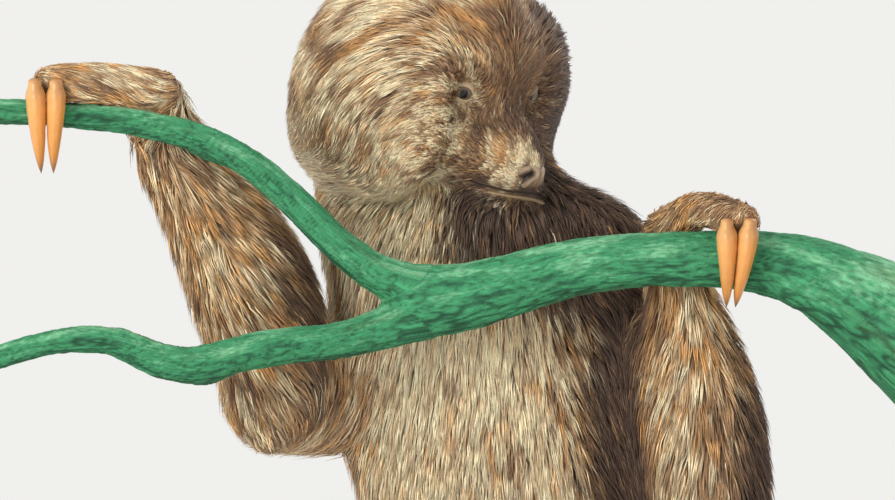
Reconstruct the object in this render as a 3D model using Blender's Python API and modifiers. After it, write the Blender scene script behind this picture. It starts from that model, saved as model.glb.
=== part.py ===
"""Two-toed sloth, life size, hanging upright by its hands from a forked branch on a plain display stand.

Units are metres, +Z is up, and the origin is the middle of the base's underside. The animal faces -Y,
so its left is +X. Its solids reach to the tips of the coat. Run with blender --background --python part.py.
"""

import math

import bmesh
import bpy
from mathutils import Matrix, Vector
from mathutils.bvhtree import BVHTree

# ---- driving dimensions -------------------------------------------------------------------------

GAP = 0.0006  # clearance between pieces that meet
MIDLINE_Z = 0.560  # height of the grip, which the pose is measured from
PERCH_Y = -0.055  # plane of the branch
BODY_Y = 0.045  # plane of the spine

HEAD_YAW = math.radians(55)  # how far the face turns to its left, towards +X
HEAD_PITCH = math.radians(27)  # how far it looks down
EYE_R = 0.0062
CLAW_R = 0.0052
ROD_R = 0.0055

BASE_LENGTH, BASE_WIDTH, BASE_THICK = 0.54, 0.34, 0.022


def at(x, y, z):
    """A point of the pose, with z counted from the height of the grip."""
    return Vector((x, y, MIDLINE_Z + z))


HEAD = at(-0.0163, 0.030, 0.086)
SIDES = (("left", 1), ("right", -1))

# Each limb is a list of stations down its axis: (point, radius out to the tips of the coat).
UPPER_ARM = {
    "left": [
        (at(0.064, 0.036, 0.011), 0.0320), (at(0.098, 0.010, -0.072), 0.0320),
        (at(0.1345, -0.013, -0.146), 0.0295),
    ],
    "right": [
        (at(-0.006, 0.082, -0.012), 0.0380), (at(-0.044, 0.048, -0.066), 0.0340),
        (at(-0.082, 0.004, -0.068), 0.0320),
    ],
}
FOREARM = {
    "left": [
        (at(0.1345, -0.013, -0.146), 0.0295), (at(0.1300, -0.014, -0.100), 0.0330),
        (at(0.1245, -0.018, -0.062), 0.0295), (at(0.1150, -0.025, -0.018), 0.0195),
        (at(0.1085, PERCH_Y + 0.027, 0.006), 0.0155),
    ],
    "right": [
        (at(-0.082, 0.004, -0.068), 0.0320), (at(-0.0960, PERCH_Y + 0.044, -0.0235), 0.0350),
        (at(-0.1140, PERCH_Y + 0.038, 0.0145), 0.0300), (at(-0.1275, PERCH_Y + 0.034, 0.0370), 0.0260),
        (at(-0.1415, PERCH_Y + 0.030, 0.0580), 0.0215), (at(-0.1420, PERCH_Y + 0.023, 0.0740), 0.0170),
    ],
}
HAND = {
    "left": [
        (at(0.1085, PERCH_Y + 0.027, 0.006), 0.0155), (at(0.1235, PERCH_Y + 0.006, 0.0203), 0.0108),
        (at(0.1435, PERCH_Y - 0.0195, 0.0125), 0.0125),
    ],
    "right": [
        (at(-0.1420, PERCH_Y + 0.023, 0.0740), 0.0170), (at(-0.1660, PERCH_Y + 0.008, 0.0810), 0.0135),
        (at(-0.1965, PERCH_Y - 0.0095, 0.0815), 0.0105),
    ],
}
THIGH = {
    "left": [
        (at(0.080, 0.035, -0.298), 0.0500), (at(0.112, -0.008, -0.316), 0.0470),
        (at(0.142, -0.050, -0.340), 0.0370),
    ],
    "right": [
        (at(-0.020, 0.035, -0.298), 0.0500), (at(-0.052, -0.006, -0.318), 0.0470),
        (at(-0.082, -0.046, -0.346), 0.0370),
    ],
}
SHANK = {
    "left": [
        (at(0.142, -0.050, -0.340), 0.0370), (at(0.124, -0.048, -0.392), 0.0300),
        (at(0.102, -0.042, -0.444), 0.0215),
    ],
    "right": [
        (at(-0.082, -0.046, -0.346), 0.0370), (at(-0.067, -0.044, -0.396), 0.0300),
        (at(-0.048, -0.036, -0.448), 0.0215),
    ],
}
FOOT = {
    "left": [
        (at(0.102, -0.042, -0.444), 0.0200), (at(0.085, -0.058, -0.462), 0.0180),
        (at(0.068, -0.078, -0.472), 0.0135),
    ],
    "right": [
        (at(-0.048, -0.036, -0.448), 0.0200), (at(-0.032, -0.050, -0.468), 0.0180),
        (at(-0.016, -0.068, -0.480), 0.0135),
    ],
}

COLOURS = {  # linear colour, roughness
    "coat": ((0.20, 0.13, 0.075), 0.9),
    "nose": ((0.30, 0.17, 0.12), 0.5),
    "eye": ((0.03, 0.015, 0.01), 0.1),
    "claw": ((0.62, 0.33, 0.10), 0.35),
    "bark": ((0.06, 0.27, 0.13), 0.7),
    "stand": ((0.36, 0.22, 0.11), 0.45),
    "steel": ((0.35, 0.35, 0.36), 0.35),
}


# ---- helpers ------------------------------------------------------------------------------------


def new_collection(name):
    collection = bpy.data.collections.new(name)
    bpy.context.scene.collection.children.link(collection)
    return collection


def material(name):
    found = bpy.data.materials.get(name)
    if found:
        return found
    colour, roughness = COLOURS[name]
    made = bpy.data.materials.new(name)
    made.use_nodes = True
    shader = made.node_tree.nodes["Principled BSDF"]
    shader.inputs["Base Color"].default_value = (*colour, 1)
    shader.inputs["Roughness"].default_value = roughness
    shader.inputs["Metallic"].default_value = 1.0 if name == "steel" else 0.0
    return made


def object_of(name, mesh, finish=None):
    """A mesh as an object: a named part if it has a finish, a hidden helper if not."""
    obj = bpy.data.objects.new(name, mesh)
    if finish:
        model.objects.link(obj)
        mesh.materials.clear()
        mesh.materials.append(material(finish))
        mesh.shade_smooth()
        mesh.set_sharp_from_angle(angle=math.radians(50))
    else:
        helpers.objects.link(obj)
        obj.hide_render = True
        obj.display_type = "WIRE"
    return obj


def evaluated_mesh(obj):
    """The object's mesh with its modifiers and its place applied, and welded."""
    bpy.context.view_layer.update()
    graph = bpy.context.evaluated_depsgraph_get()
    mesh = bpy.data.meshes.new_from_object(obj.evaluated_get(graph))
    mesh.transform(obj.matrix_world)
    edit = bmesh.new()
    edit.from_mesh(mesh)
    bmesh.ops.remove_doubles(edit, verts=edit.verts, dist=1e-5)
    bmesh.ops.recalc_face_normals(edit, faces=edit.faces)
    edit.to_mesh(mesh)
    edit.free()
    return mesh


def baked(obj, finish=None, name=None):
    """Replaces a helper by the mesh that its modifiers make of it."""
    name = name or obj.name
    mesh = evaluated_mesh(obj)
    bpy.data.objects.remove(obj)
    return object_of(name, mesh, finish)


def grown(obj, by=GAP):
    """A hidden copy of a part, swollen along its normals, to cut its neighbour with."""
    copy = object_of(obj.name + "_cutter", evaluated_mesh(obj))
    swell = copy.modifiers.new("swell", "DISPLACE")
    swell.strength = by
    swell.mid_level = 0
    return baked(copy)


def boolean(obj, other, operation):
    step = obj.modifiers.new(operation.lower(), "BOOLEAN")
    step.operation = operation
    step.solver = "EXACT"
    step.object = other
    return obj


def largest_body(obj):
    """Keeps the biggest closed body of a mesh, which drops the crumbs that a cut leaves."""
    edit = bmesh.new()
    edit.from_mesh(obj.data)
    seen, bodies = set(), []
    for start in edit.faces:
        if start in seen:
            continue
        body, queue = [], [start]
        seen.add(start)
        while queue:
            face = queue.pop()
            body.append(face)
            for edge in face.edges:
                for other in edge.link_faces:
                    if len(edge.link_faces) == 2 and other not in seen:
                        seen.add(other)
                        queue.append(other)
        bodies.append(body)
    bodies.sort(key=len)
    crumbs = [face for body in bodies[:-1] for face in body]
    bmesh.ops.delete(edit, geom=crumbs, context="FACES")
    edit.to_mesh(obj.data)
    edit.free()
    return obj


def cut_by(obj, *others, gap=GAP):
    """The part less each other part grown by the gap, in one closed body."""
    finish = obj.data.materials[0].name
    for other in others:
        cutter = grown(other, gap)
        obj = baked(boolean(obj, cutter, "DIFFERENCE"), finish)
        bpy.data.objects.remove(cutter)
    return largest_body(obj)


def trimmed(obj, point, normal):
    """The part on the side of a plane that its normal points to, half a gap clear of the plane."""
    finish = obj.data.materials[0].name
    bpy.ops.mesh.primitive_cube_add(size=1)
    block = bpy.context.object
    block.name = "trim"
    turn = normal.to_track_quat("Z", "Y").to_matrix().to_4x4()
    size = 0.8
    shift = Matrix.Translation(point + normal * (GAP / 2 - size / 2))
    block.data.transform(shift @ turn @ Matrix.Scale(size, 4))
    obj = baked(boolean(obj, block, "DIFFERENCE"), finish)
    bpy.data.objects.remove(block)
    return largest_body(obj)


# ---- shapes -------------------------------------------------------------------------------------


def spline_point(values, t):
    """Catmull-Rom value at t, from 0 at the first of the values to 1 at the last."""
    last = len(values) - 1
    place = min(max(t, 0.0), 1.0) * last
    i = min(int(place), last - 1)
    u = place - i
    a, b, c, d = (values[min(max(i + k, 0), last)] for k in (-1, 0, 1, 2))
    return (
        b + (c - a) * (u / 2) + (a * 2 - b * 5 + c * 4 - d) * (u * u / 2)
        + (b * 3 - a - c * 3 + d) * (u * u * u / 2)
    )


def stretched(points, radii):
    """The points with both ends moved out by the end radii, so that the caps are round about the joints."""
    first = points[0] + (points[0] - points[1]).normalized() * radii[0]
    last = points[-1] + (points[-1] - points[-2]).normalized() * radii[-1]
    return [first, *points[1:-1], last]


def limb(name, stations, finish=None, rings=17, resolution=6, round_ends=True):
    """A round tapering form through its stations, as a bevelled curve, its ends rounded or cut square."""
    points, radii = zip(*stations)
    path = stretched(points, radii) if round_ends else points
    length = sum((b - a).length for a, b in zip(path, path[1:]))
    curve = bpy.data.curves.new(name, "CURVE")
    curve.dimensions = "3D"
    curve.bevel_depth = 1.0
    curve.bevel_resolution = resolution
    curve.use_fill_caps = True
    spline = curve.splines.new("POLY")
    spline.points.add(rings - 1)
    for k, point in enumerate(spline.points):
        t = (1 - math.cos(math.pi * k / (rings - 1))) / 2 if round_ends else k / (rings - 1)
        radius = spline_point(radii, t)
        if round_ends:
            to_end = min(t, 1 - t) * length
            inside = max(0.0, 1 - to_end / (radii[0] if t < 0.5 else radii[-1]))
            radius *= math.sqrt(max(0.012, 1 - inside * inside))
        point.co = (*spline_point(path, t), 1)
        point.radius = radius
    obj = bpy.data.objects.new(name, curve)
    helpers.objects.link(obj)
    return baked(obj, finish)


def loft(name, stations, finish="coat", across=Vector((1, 0, 0)), rings=15, sides=16):
    """A closed form through oval sections. A station is (centre, half width along across, half depth)."""
    centres, widths, depths = ([s[i] for s in stations] for i in range(3))
    mesh = bpy.data.meshes.new(name)
    edit = bmesh.new()
    step, loops = 1e-3, []
    for k in range(rings):
        t = (1 - math.cos(math.pi * k / (rings - 1))) / 2
        centre = spline_point(centres, t)
        along = (spline_point(centres, t + step) - spline_point(centres, t - step)).normalized()
        side = (across - along * across.dot(along)).normalized()
        front = along.cross(side)
        if k in (0, rings - 1):
            loops.append([edit.verts.new(centre)])
            continue
        loop = []
        for n in range(sides):
            a = 2 * math.pi * n / sides
            width, depth = spline_point(widths, t), spline_point(depths, t)
            loop.append(edit.verts.new(centre + side * (math.cos(a) * width) + front * (math.sin(a) * depth)))
        loops.append(loop)
    for low, high in zip(loops, loops[1:]):
        for n in range(sides):
            corners = [
                low[n % len(low)], low[(n + 1) % len(low)],
                high[(n + 1) % len(high)], high[n % len(high)],
            ]
            edit.faces.new(list(dict.fromkeys(corners)))
    bmesh.ops.recalc_face_normals(edit, faces=edit.faces)
    edit.to_mesh(mesh)
    edit.free()
    return object_of(name, mesh, finish)


def ellipsoid(name, centre, radii, turn=None, segments=32, rings=16):
    """A helper ball, scaled and turned."""
    mesh = bpy.data.meshes.new(name)
    edit = bmesh.new()
    bmesh.ops.create_uvsphere(edit, u_segments=segments, v_segments=rings, radius=1.0)
    edit.to_mesh(mesh)
    edit.free()
    scale = Matrix.Diagonal((*radii, 1))
    turn = turn.to_4x4() if turn else Matrix.Identity(4)
    mesh.transform(Matrix.Translation(centre) @ turn @ scale)
    return object_of(name, mesh)


def melted(name, pieces, voxel, smoothing, triangles, finish="coat"):
    """Helper forms run together into one smooth skin of about that many triangles."""
    with bpy.context.temp_override(
        active_object=pieces[0], object=pieces[0], selected_editable_objects=pieces, selected_objects=pieces
    ):
        bpy.ops.object.join()
    whole = pieces[0]
    remesh = whole.modifiers.new("remesh", "REMESH")
    remesh.mode = "VOXEL"
    remesh.voxel_size = voxel
    soften = whole.modifiers.new("soften", "SMOOTH")
    soften.factor = 0.5
    soften.iterations = smoothing
    whole = baked(whole, None, name)
    thin = whole.modifiers.new("thin", "DECIMATE")
    thin.ratio = triangles / (2 * len(whole.data.polygons))
    return baked(whole, finish, name)


# ---- perch --------------------------------------------------------------------------------------

PERCH_END_X = 0.240  # how far each way the branch is kept
FORK = at(-0.012, PERCH_Y, -0.0250)
MAIN = [  # the thick end first, where it left the trunk
    (at(0.250, PERCH_Y + 0.004, -0.0580), 0.0350), (at(0.224, PERCH_Y + 0.003, -0.0380), 0.0295),
    (at(0.201, PERCH_Y + 0.001, -0.0235), 0.0233), (at(0.176, PERCH_Y, -0.0110), 0.0181),
    (at(0.151, PERCH_Y, -0.0055), 0.0151), (at(0.124, PERCH_Y, -0.0045), 0.0136),
    (at(0.095, PERCH_Y, -0.0050), 0.0129), (at(0.066, PERCH_Y, -0.0080), 0.0134),
    (at(0.036, PERCH_Y, -0.0155), 0.0148), (at(0.011, PERCH_Y, -0.0230), 0.0168), (FORK, 0.0178),
    (FORK + Vector((-0.012, 0, -0.001)), 0.0140),
]
UPPER = [
    (FORK + Vector((0.010, 0, 0.002)), 0.0130), (at(-0.033, PERCH_Y, -0.0125), 0.0100),
    (at(-0.054, PERCH_Y, 0.0025), 0.0086), (at(-0.074, PERCH_Y, 0.0225), 0.0081),
    (at(-0.094, PERCH_Y, 0.0400), 0.0076), (at(-0.118, PERCH_Y, 0.0540), 0.0069),
    (at(-0.144, PERCH_Y, 0.0610), 0.0068), (at(-0.169, PERCH_Y, 0.0645), 0.0067),
    (at(-0.196, PERCH_Y, 0.0670), 0.0067), (at(-0.222, PERCH_Y, 0.0680), 0.0070),
    (at(-0.250, PERCH_Y, 0.0675), 0.0080),
]
LOWER = [
    (FORK + Vector((0.010, 0, -0.004)), 0.0135), (at(-0.034, PERCH_Y - 0.003, -0.0395), 0.0104),
    (at(-0.056, PERCH_Y - 0.010, -0.0450), 0.0091), (at(-0.084, PERCH_Y - 0.019, -0.0475), 0.0093),
    (at(-0.104, PERCH_Y - 0.025, -0.0515), 0.0089), (at(-0.122, PERCH_Y - 0.029, -0.0560), 0.0087),
    (at(-0.140, PERCH_Y - 0.031, -0.0545), 0.0083), (at(-0.164, PERCH_Y - 0.032, -0.0445), 0.0074),
    (at(-0.192, PERCH_Y - 0.032, -0.0450), 0.0066), (at(-0.224, PERCH_Y - 0.032, -0.0540), 0.0066),
    (at(-0.250, PERCH_Y - 0.032, -0.0620), 0.0066),
]


def make_perch():
    """The main branch and the two limbs that it forks into, grown as one and sawn off at the far ends."""
    runs = [limb("run", run, rings=40, resolution=8, round_ends=False) for run in (MAIN, UPPER, LOWER)]
    whole = melted("perch", runs, 0.0022, 8, 840, "bark")
    across = Vector((1, 0, 0))
    for sign in (1, -1):
        whole = trimmed(whole, at(sign * PERCH_END_X, PERCH_Y, 0), across * -sign)
    parts = []
    crotch = FORK + Vector((-0.010, 0, -0.001))
    divide = Vector((0.15, 0, 1)).normalized()
    for name, cuts in (
        ("perch_main", [(crotch, across)]),
        ("perch_upper_limb", [(crotch, -across), (crotch, divide)]),
        ("perch_lower_limb", [(crotch, -across), (crotch, -divide)]),
    ):
        part = object_of(name, whole.data.copy(), "bark")
        for point, normal in cuts:
            part = trimmed(part, point, normal)
        parts.append(part)
    bpy.data.objects.remove(whole)
    return parts


# ---- stand --------------------------------------------------------------------------------------


def make_rod(name, foot, height):
    """A turned steel rod on a round foot plate, with a cup at its top for the branch."""
    profile = [
        (0.0, height), (0.0095, height), (0.0095, height - 0.014), (ROD_R, height - 0.020),
        (ROD_R, 0.010), (0.018, 0.006), (0.018, 0.0), (0.0, 0.0),
    ]
    mesh = bpy.data.meshes.new(name)
    mesh.from_pydata([(r, 0, z) for r, z in profile], [(i, i + 1) for i in range(len(profile) - 1)], [])
    turned = bpy.data.objects.new(name, mesh)
    helpers.objects.link(turned)
    turned.location = foot
    screw = turned.modifiers.new("turn", "SCREW")
    screw.steps = screw.render_steps = 12
    screw.use_merge_vertices = True
    screw.merge_threshold = 0.00005
    return baked(turned, "steel")


def make_stand(perch):
    """A flat base, and a rod under each end of the branch."""
    bpy.ops.mesh.primitive_cube_add(size=1)
    block = bpy.context.object
    block.name = "stand_base"
    block.data.transform(
        Matrix.Translation((0, 0, BASE_THICK / 2)) @ Matrix.Diagonal((BASE_LENGTH, BASE_WIDTH, BASE_THICK, 1))
    )
    corners = block.modifiers.new("corners", "BEVEL")
    corners.width = 0.030
    corners.segments = 3
    corners.affect = "EDGES"
    corners.limit_method = "WEIGHT"
    weights = block.data.attributes.new("bevel_weight_edge", "FLOAT", "EDGE")
    for edge in block.data.edges:
        low, high = (block.data.vertices[i].co for i in edge.vertices)
        weights.data[edge.index].value = 1.0 if abs(low.z - high.z) > BASE_THICK / 2 else 0.0
    base = baked(block, "stand")
    edge = base.modifiers.new("edge", "BEVEL")
    edge.width = 0.002
    edge.segments = 1
    edge.limit_method = "ANGLE"
    base = baked(base, "stand")
    main, _, lower = perch
    rods = []
    for name, limb_obj, x, y, z in (
        ("stand_rod_left", main, 0.232, PERCH_Y + 0.0035, MIDLINE_Z - 0.066),
        ("stand_rod_right", lower, -0.231, PERCH_Y - 0.032, MIDLINE_Z - 0.0550),
    ):
        foot = Vector((x, y, BASE_THICK + GAP))
        rods.append(cut_by(make_rod(name, foot, z - foot.z), limb_obj))
    return [base, *rods]


# ---- head ---------------------------------------------------------------------------------------

FORWARD = Vector((
    math.sin(HEAD_YAW) * math.cos(HEAD_PITCH),
    -math.cos(HEAD_YAW) * math.cos(HEAD_PITCH),
    -math.sin(HEAD_PITCH),
))
LEFT = Vector((math.cos(HEAD_YAW), math.sin(HEAD_YAW), 0))
UP = FORWARD.cross(LEFT)
HEAD_TURN = Matrix((FORWARD, LEFT, UP)).transposed()

EYE_AT = Vector((0.0503, 0.0325, 0.0161))  # the eyeball's front: forward, sideways and up in the head
EYE_SPLAY = math.radians(36)  # how far the eyes look out to the sides
EYE_TILT = 0.08  # and how far up, as a slope
SOCKET_RADII = (0.0052, 0.0058, 0.0075)
NOSE_AT = Vector((0.0857, 0, -0.0097))
NOSE_RADII = (0.0080, 0.0122, 0.0098)
NOSE_LEAN = math.radians(12)
NOSTRIL_RADII = (0.0042, 0.0022, 0.0026)
MOUTH_UP = -0.0238
MOUTH_MIDDLE = 0.0615  # forward, where the curve of the lips is centred
MOUTH_REACH = math.radians(105)  # how far round the groove runs each way
MOUTH_LIFT = 0.0012  # rise of its corners
EAR_RADII = (0.0080, 0.0115, 0.0026)


def in_head(forward, left, up):
    return HEAD + HEAD_TURN @ Vector((forward, left, up))


def make_head():
    """Round furred head with a short blunt muzzle, as balls run together."""
    forms = [  # forward, left, up, then the three radii
        (0.001, 0, -0.002, 0.058, 0.073, 0.071),  # crown and nape
        (-0.004, 0, -0.027, 0.050, 0.061, 0.047),  # jowls
        (0.021, 0, 0.018, 0.036, 0.054, 0.044),  # forehead
        (0.031, 0, 0.002, 0.031, 0.036, 0.030),  # face
        (0.056, 0, -0.007, 0.033, 0.0190, 0.0190),  # bridge
        (0.074, 0, -0.0140, 0.0170, 0.0205, 0.0170),  # lips
        (0.057, 0, -0.0275, 0.0275, 0.0195, 0.0115),  # chin
    ]
    for side in (1, -1):
        forms += [
            (0.013, side * 0.041, 0.000, 0.042, 0.047, 0.056),  # temples
            (0.028, side * 0.048, -0.018, 0.032, 0.028, 0.036),  # full cheeks
            (0.036, side * 0.015, 0.020, 0.0180, 0.017, 0.0125),  # brows
            (0.043, side * 0.018, -0.016, 0.028, 0.019, 0.0180),  # sides of the muzzle
        ]
    pieces = [
        ellipsoid(f"head_form_{i}", in_head(*form[:3]), form[3:], HEAD_TURN)
        for i, form in enumerate(forms)
    ]
    return melted("head", pieces, 0.0020, 5, 820)


def surface_point(obj, outside, direction):
    """Where a ray from outside first meets the part."""
    mesh = obj.data
    mesh.calc_loop_triangles()
    tree = BVHTree.FromPolygons(
        [v.co for v in mesh.vertices], [tuple(t.vertices) for t in mesh.loop_triangles]
    )
    return tree.ray_cast(outside, direction)[0]


def make_eyes(head):
    """Each eyeball sits just under the coat, in a socket that opens outwards."""
    eyes = []
    for side, sign in SIDES:
        look = HEAD_TURN @ Vector((math.cos(EYE_SPLAY), sign * math.sin(EYE_SPLAY), EYE_TILT)).normalized()
        front = in_head(EYE_AT.x, sign * EYE_AT.y, EYE_AT.z)
        rim = surface_point(head, front + look * 0.05, -look)
        centre = front - look * EYE_R
        eye = baked(ellipsoid(f"eye_{side}", centre, (EYE_R,) * 3, segments=12, rings=7), "eye")
        turn = look.to_track_quat("Z", "Y").to_matrix()
        opening = ellipsoid("opening", rim + look * 0.001, SOCKET_RADII, turn, 12, 6)
        head = baked(boolean(head, opening, "DIFFERENCE"), "coat")
        head = cut_by(head, eye)
        eyes.append(eye)
    return head, eyes


def make_nose(head):
    """The bare nose pad, with two nostrils, let into the end of the muzzle."""
    turn = HEAD_TURN @ Matrix.Rotation(NOSE_LEAN, 3, "Y")
    pad = baked(ellipsoid("nose", in_head(*NOSE_AT), NOSE_RADII, turn, 12, 8), "nose")
    for sign in (1, -1):
        centre = in_head(NOSE_AT.x + 0.0068, sign * 0.0054, NOSE_AT.z - 0.0008)
        hole = ellipsoid("nostril", centre, NOSTRIL_RADII, HEAD_TURN, 8, 6)
        pad = baked(boolean(pad, hole, "DIFFERENCE"), "nose")
    return cut_by(head, pad), pad


def cut_mouth(head):
    """The shut mouth, as a shallow groove that rises to its corners."""
    mesh = bpy.data.meshes.new("mouth")
    edit = bmesh.new()
    steps, rows = 10, []
    for k in range(steps + 1):
        a = MOUTH_REACH * (2 * k / steps - 1)
        inner, outer = ((MOUTH_MIDDLE + r * math.cos(a), 1.10 * r * math.sin(a)) for r in (0.0140, 0.0320))
        lift = MOUTH_LIFT * (a / MOUTH_REACH) ** 2
        rows.append([in_head(*inner, MOUTH_UP + lift), in_head(*outer, MOUTH_UP + lift)])
    verts = [[edit.verts.new(p) for p in row] for row in rows]
    for a, b in zip(verts, verts[1:]):
        edit.faces.new((a[0], a[1], b[1], b[0]))
    edit.to_mesh(mesh)
    edit.free()
    sheet = object_of("mouth", mesh)
    thick = sheet.modifiers.new("thick", "SOLIDIFY")
    thick.thickness = 0.0010
    thick.offset = 0
    sheet = baked(sheet)
    head = baked(boolean(head, sheet, "DIFFERENCE"), "coat")
    bpy.data.objects.remove(sheet)
    return largest_body(head)


def make_ears(head):
    """Small round ears that lie almost flat, their rims just out of the coat."""
    ears = []
    for side, sign in SIDES:
        out = HEAD_TURN @ Vector((-0.22, sign, 0.10)).normalized()
        line = in_head(-0.012, sign * 0.02, 0.012)
        skin = surface_point(head, line + out * 0.12, -out)
        turn = (out + FORWARD * 0.35).to_track_quat("Z", "Y").to_matrix()
        ear = baked(ellipsoid(f"ear_{side}", skin - out * 0.0005, EAR_RADII, turn, 10, 6), "coat")
        ears.append(ear)
        head = cut_by(head, ear)
    return head, ears


# ---- trunk --------------------------------------------------------------------------------------


def make_trunk():
    """Neck, chest and belly, as one smooth form with its shoulders and hips that is cut across."""
    stations = [  # centre, half width, half depth
        (at(-0.012, 0.044, 0.078), 0.012, 0.012),
        (at(-0.014, 0.046, 0.060), 0.048, 0.036),
        (at(-0.011, 0.048, 0.040), 0.061, 0.047),
        (at(-0.004, 0.047, 0.020), 0.067, 0.058),
        (at(0.004, BODY_Y, 0.000), 0.070, 0.066),
        (at(0.010, BODY_Y, -0.030), 0.071, 0.072),
        (at(0.014, BODY_Y, -0.060), 0.0725, 0.074),
        (at(0.021, BODY_Y, -0.100), 0.0725, 0.076),
        (at(0.027, BODY_Y + 0.002, -0.140), 0.0715, 0.078),
        (at(0.029, BODY_Y + 0.003, -0.190), 0.0725, 0.080),
        (at(0.0295, BODY_Y + 0.002, -0.245), 0.076, 0.080),
        (at(0.030, BODY_Y - 0.001, -0.305), 0.076, 0.073),
        (at(0.030, BODY_Y - 0.003, -0.345), 0.060, 0.056),
        (at(0.030, BODY_Y - 0.003, -0.368), 0.012, 0.012),
    ]
    pieces = [loft("trunk", stations, None, rings=40, sides=40)]
    for side, _ in SIDES:
        shoulder, hip = UPPER_ARM[side][0], THIGH[side][0]
        arm_way, leg_way = (
            (run[side][1][0] - run[side][0][0]).normalized() * 0.014 for run in (UPPER_ARM, THIGH)
        )
        blade = shoulder[0].lerp(at(0.020, 0.070, -0.110), 0.75)
        flank = hip[0].lerp(at(0.030, 0.045, -0.200), 0.75)
        pieces += [
            limb("shoulder", [(blade, 0.038), (shoulder[0] + arm_way, shoulder[1] + 0.002)]),
            limb("haunch", [(flank, 0.052), (hip[0] + leg_way, hip[1] + 0.003)]),
        ]
    whole = melted("trunk", pieces, 0.0040, 14, 820)
    up = Vector((0, 0, 1))
    collar, waist = at(0, BODY_Y, 0.0215), at(0, 0, -0.150)
    tilt = Vector((-0.28, -0.15, 1)).normalized()
    neck, chest, belly = (object_of(n, whole.data.copy(), "coat") for n in ("neck", "chest", "belly"))
    bpy.data.objects.remove(whole)
    neck = trimmed(neck, collar, tilt)
    chest = trimmed(trimmed(chest, collar, -tilt), waist, up)
    belly = trimmed(belly, waist, -up)
    return neck, chest, belly


def make_tail(belly):
    """The tail is a stump in the coat of the rump."""
    root = at(0.030, 0.092, -0.318)
    tail = limb("tail", [(root, 0.017), (root + Vector((0, 0.026, -0.028)), 0.012)], "coat", 9, 4)
    return cut_by(tail, belly)


# ---- limbs --------------------------------------------------------------------------------------


def jointed(names, runs, triangles):
    """Runs of stations melted into one smooth limb, then parted at each joint on the plane halving it."""
    pieces = [limb("run", run, rings=19, resolution=8) for run in runs]
    rest = melted("limb", pieces, 0.0026, 10, triangles)
    parts = []
    for name, run, onward in zip(names, runs, runs[1:]):
        joint = onward[0][0]
        normal = ((run[0][0] - joint).normalized() - (onward[-1][0] - joint).normalized()).normalized()
        part = object_of(name, rest.data.copy(), "coat")
        parts.append(trimmed(part, joint, normal))
        rest = trimmed(rest, joint, -normal)
    rest.name = names[-1]
    return [*parts, rest]


def make_arm(side, chest):
    names = (f"upper_arm_{side}", f"forearm_{side}", f"hand_{side}")
    upper, forearm, hand = jointed(names, (UPPER_ARM[side], FOREARM[side], HAND[side]), 440)
    return cut_by(upper, chest), cut_by(forearm, chest), hand


def claw(name, root, tip, bulge, radius, rings=8, sides=8):
    """A horn hook from root to tip that bows out towards bulge."""
    middle = root.lerp(tip, 0.5) + bulge
    across = (tip - root).cross(bulge).normalized()
    line = [root, root.lerp(middle, 0.5) + bulge * 0.22, middle, middle.lerp(tip, 0.55) + bulge * 0.20, tip]
    widths = [radius * s for s in (0.90, 1.0, 0.86, 0.58, 0.10)]
    depths = [radius * s for s in (1.05, 1.18, 1.0, 0.66, 0.10)]
    return loft(name, list(zip(line, widths, depths)), "claw", across, rings, sides)


def make_hand_claws(side):
    """Two claws that come down over the front of the branch and hook back under it."""
    knuckle = HAND[side][-1][0]
    if side == "left":
        places = ((-0.0066, -0.0062), (0.0052, -0.0018))  # sideways at the root and at the tip
        drop, back, bow = 0.0425, 0.0125, -0.0105
    else:
        places = ((-0.0062, -0.0038), (0.0046, 0.0022))
        drop, back, bow = 0.0455, 0.0090, -0.0080
    claws = []
    for number, (start, end) in enumerate(places, 1):
        root = knuckle + Vector((start, -0.0040, 0.0020))
        tip = knuckle + Vector((end, back, 0.0020 - drop))
        claws.append(claw(f"claw_hand_{side}_{number}", root, tip, Vector((0, bow, 0.001)), CLAW_R))
    return claws


def make_leg(side, belly):
    names = (f"thigh_{side}", f"shank_{side}", f"foot_{side}")
    thigh, shank, foot = jointed(names, (THIGH[side], SHANK[side], FOOT[side]), 380)
    return cut_by(thigh, belly), cut_by(shank, belly), foot


def make_foot_claws(side, sign):
    """Three claws that curl in from the toes."""
    ankle, toe = FOOT[side][0][0], FOOT[side][-1][0]
    along = (toe - ankle).normalized()
    across = along.cross(Vector((sign * 0.5, 0.2, 1))).normalized()
    down = across.cross(along)
    if down.z > 0:
        down = -down
    claws = []
    for number, place in ((1, -1), (2, 0), (3, 1)):
        root = toe + across * (place * 0.0092) + along * 0.002
        tip = root + along * 0.026 + down * 0.033 - across * (place * 0.002)
        bow = along * 0.011 - down * 0.009
        claws.append(claw(f"claw_foot_{side}_{number}", root, tip, bow, CLAW_R * 0.80))
    return claws


# ---- assembly -----------------------------------------------------------------------------------


def build():
    perch = make_perch()
    make_stand(perch)
    neck, chest, belly = make_trunk()
    head = cut_by(make_head(), *perch)
    neck = cut_by(neck, head, *perch, gap=2 * GAP)
    chest = cut_by(chest, head, *perch, gap=2 * GAP)
    head, _ = make_eyes(head)
    head, _ = make_nose(head)
    head = cut_mouth(head)
    head, _ = make_ears(head)
    make_tail(belly)
    for side, sign in SIDES:
        upper, forearm, hand = make_arm(side, chest)
        upper = cut_by(upper, neck)
        claws = [cut_by(horn, *perch) for horn in make_hand_claws(side)]
        claws[1] = cut_by(claws[1], claws[0])
        hand = cut_by(hand, *claws, *perch)
        forearm = cut_by(forearm, *perch)
        thigh, shank, foot = make_leg(side, belly)
        foot = cut_by(foot, *make_foot_claws(side, sign))


for leftover in list(bpy.data.objects):
    bpy.data.objects.remove(leftover)
model = new_collection("sloth")
helpers = new_collection("helpers")
build()
for helper in list(helpers.objects):
    bpy.data.objects.remove(helper)
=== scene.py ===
import math

import bmesh
import bpy
import numpy as np
from mathutils import Matrix, Vector, noise
from mathutils.bvhtree import BVHTree
from mathutils.kdtree import KDTree


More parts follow.
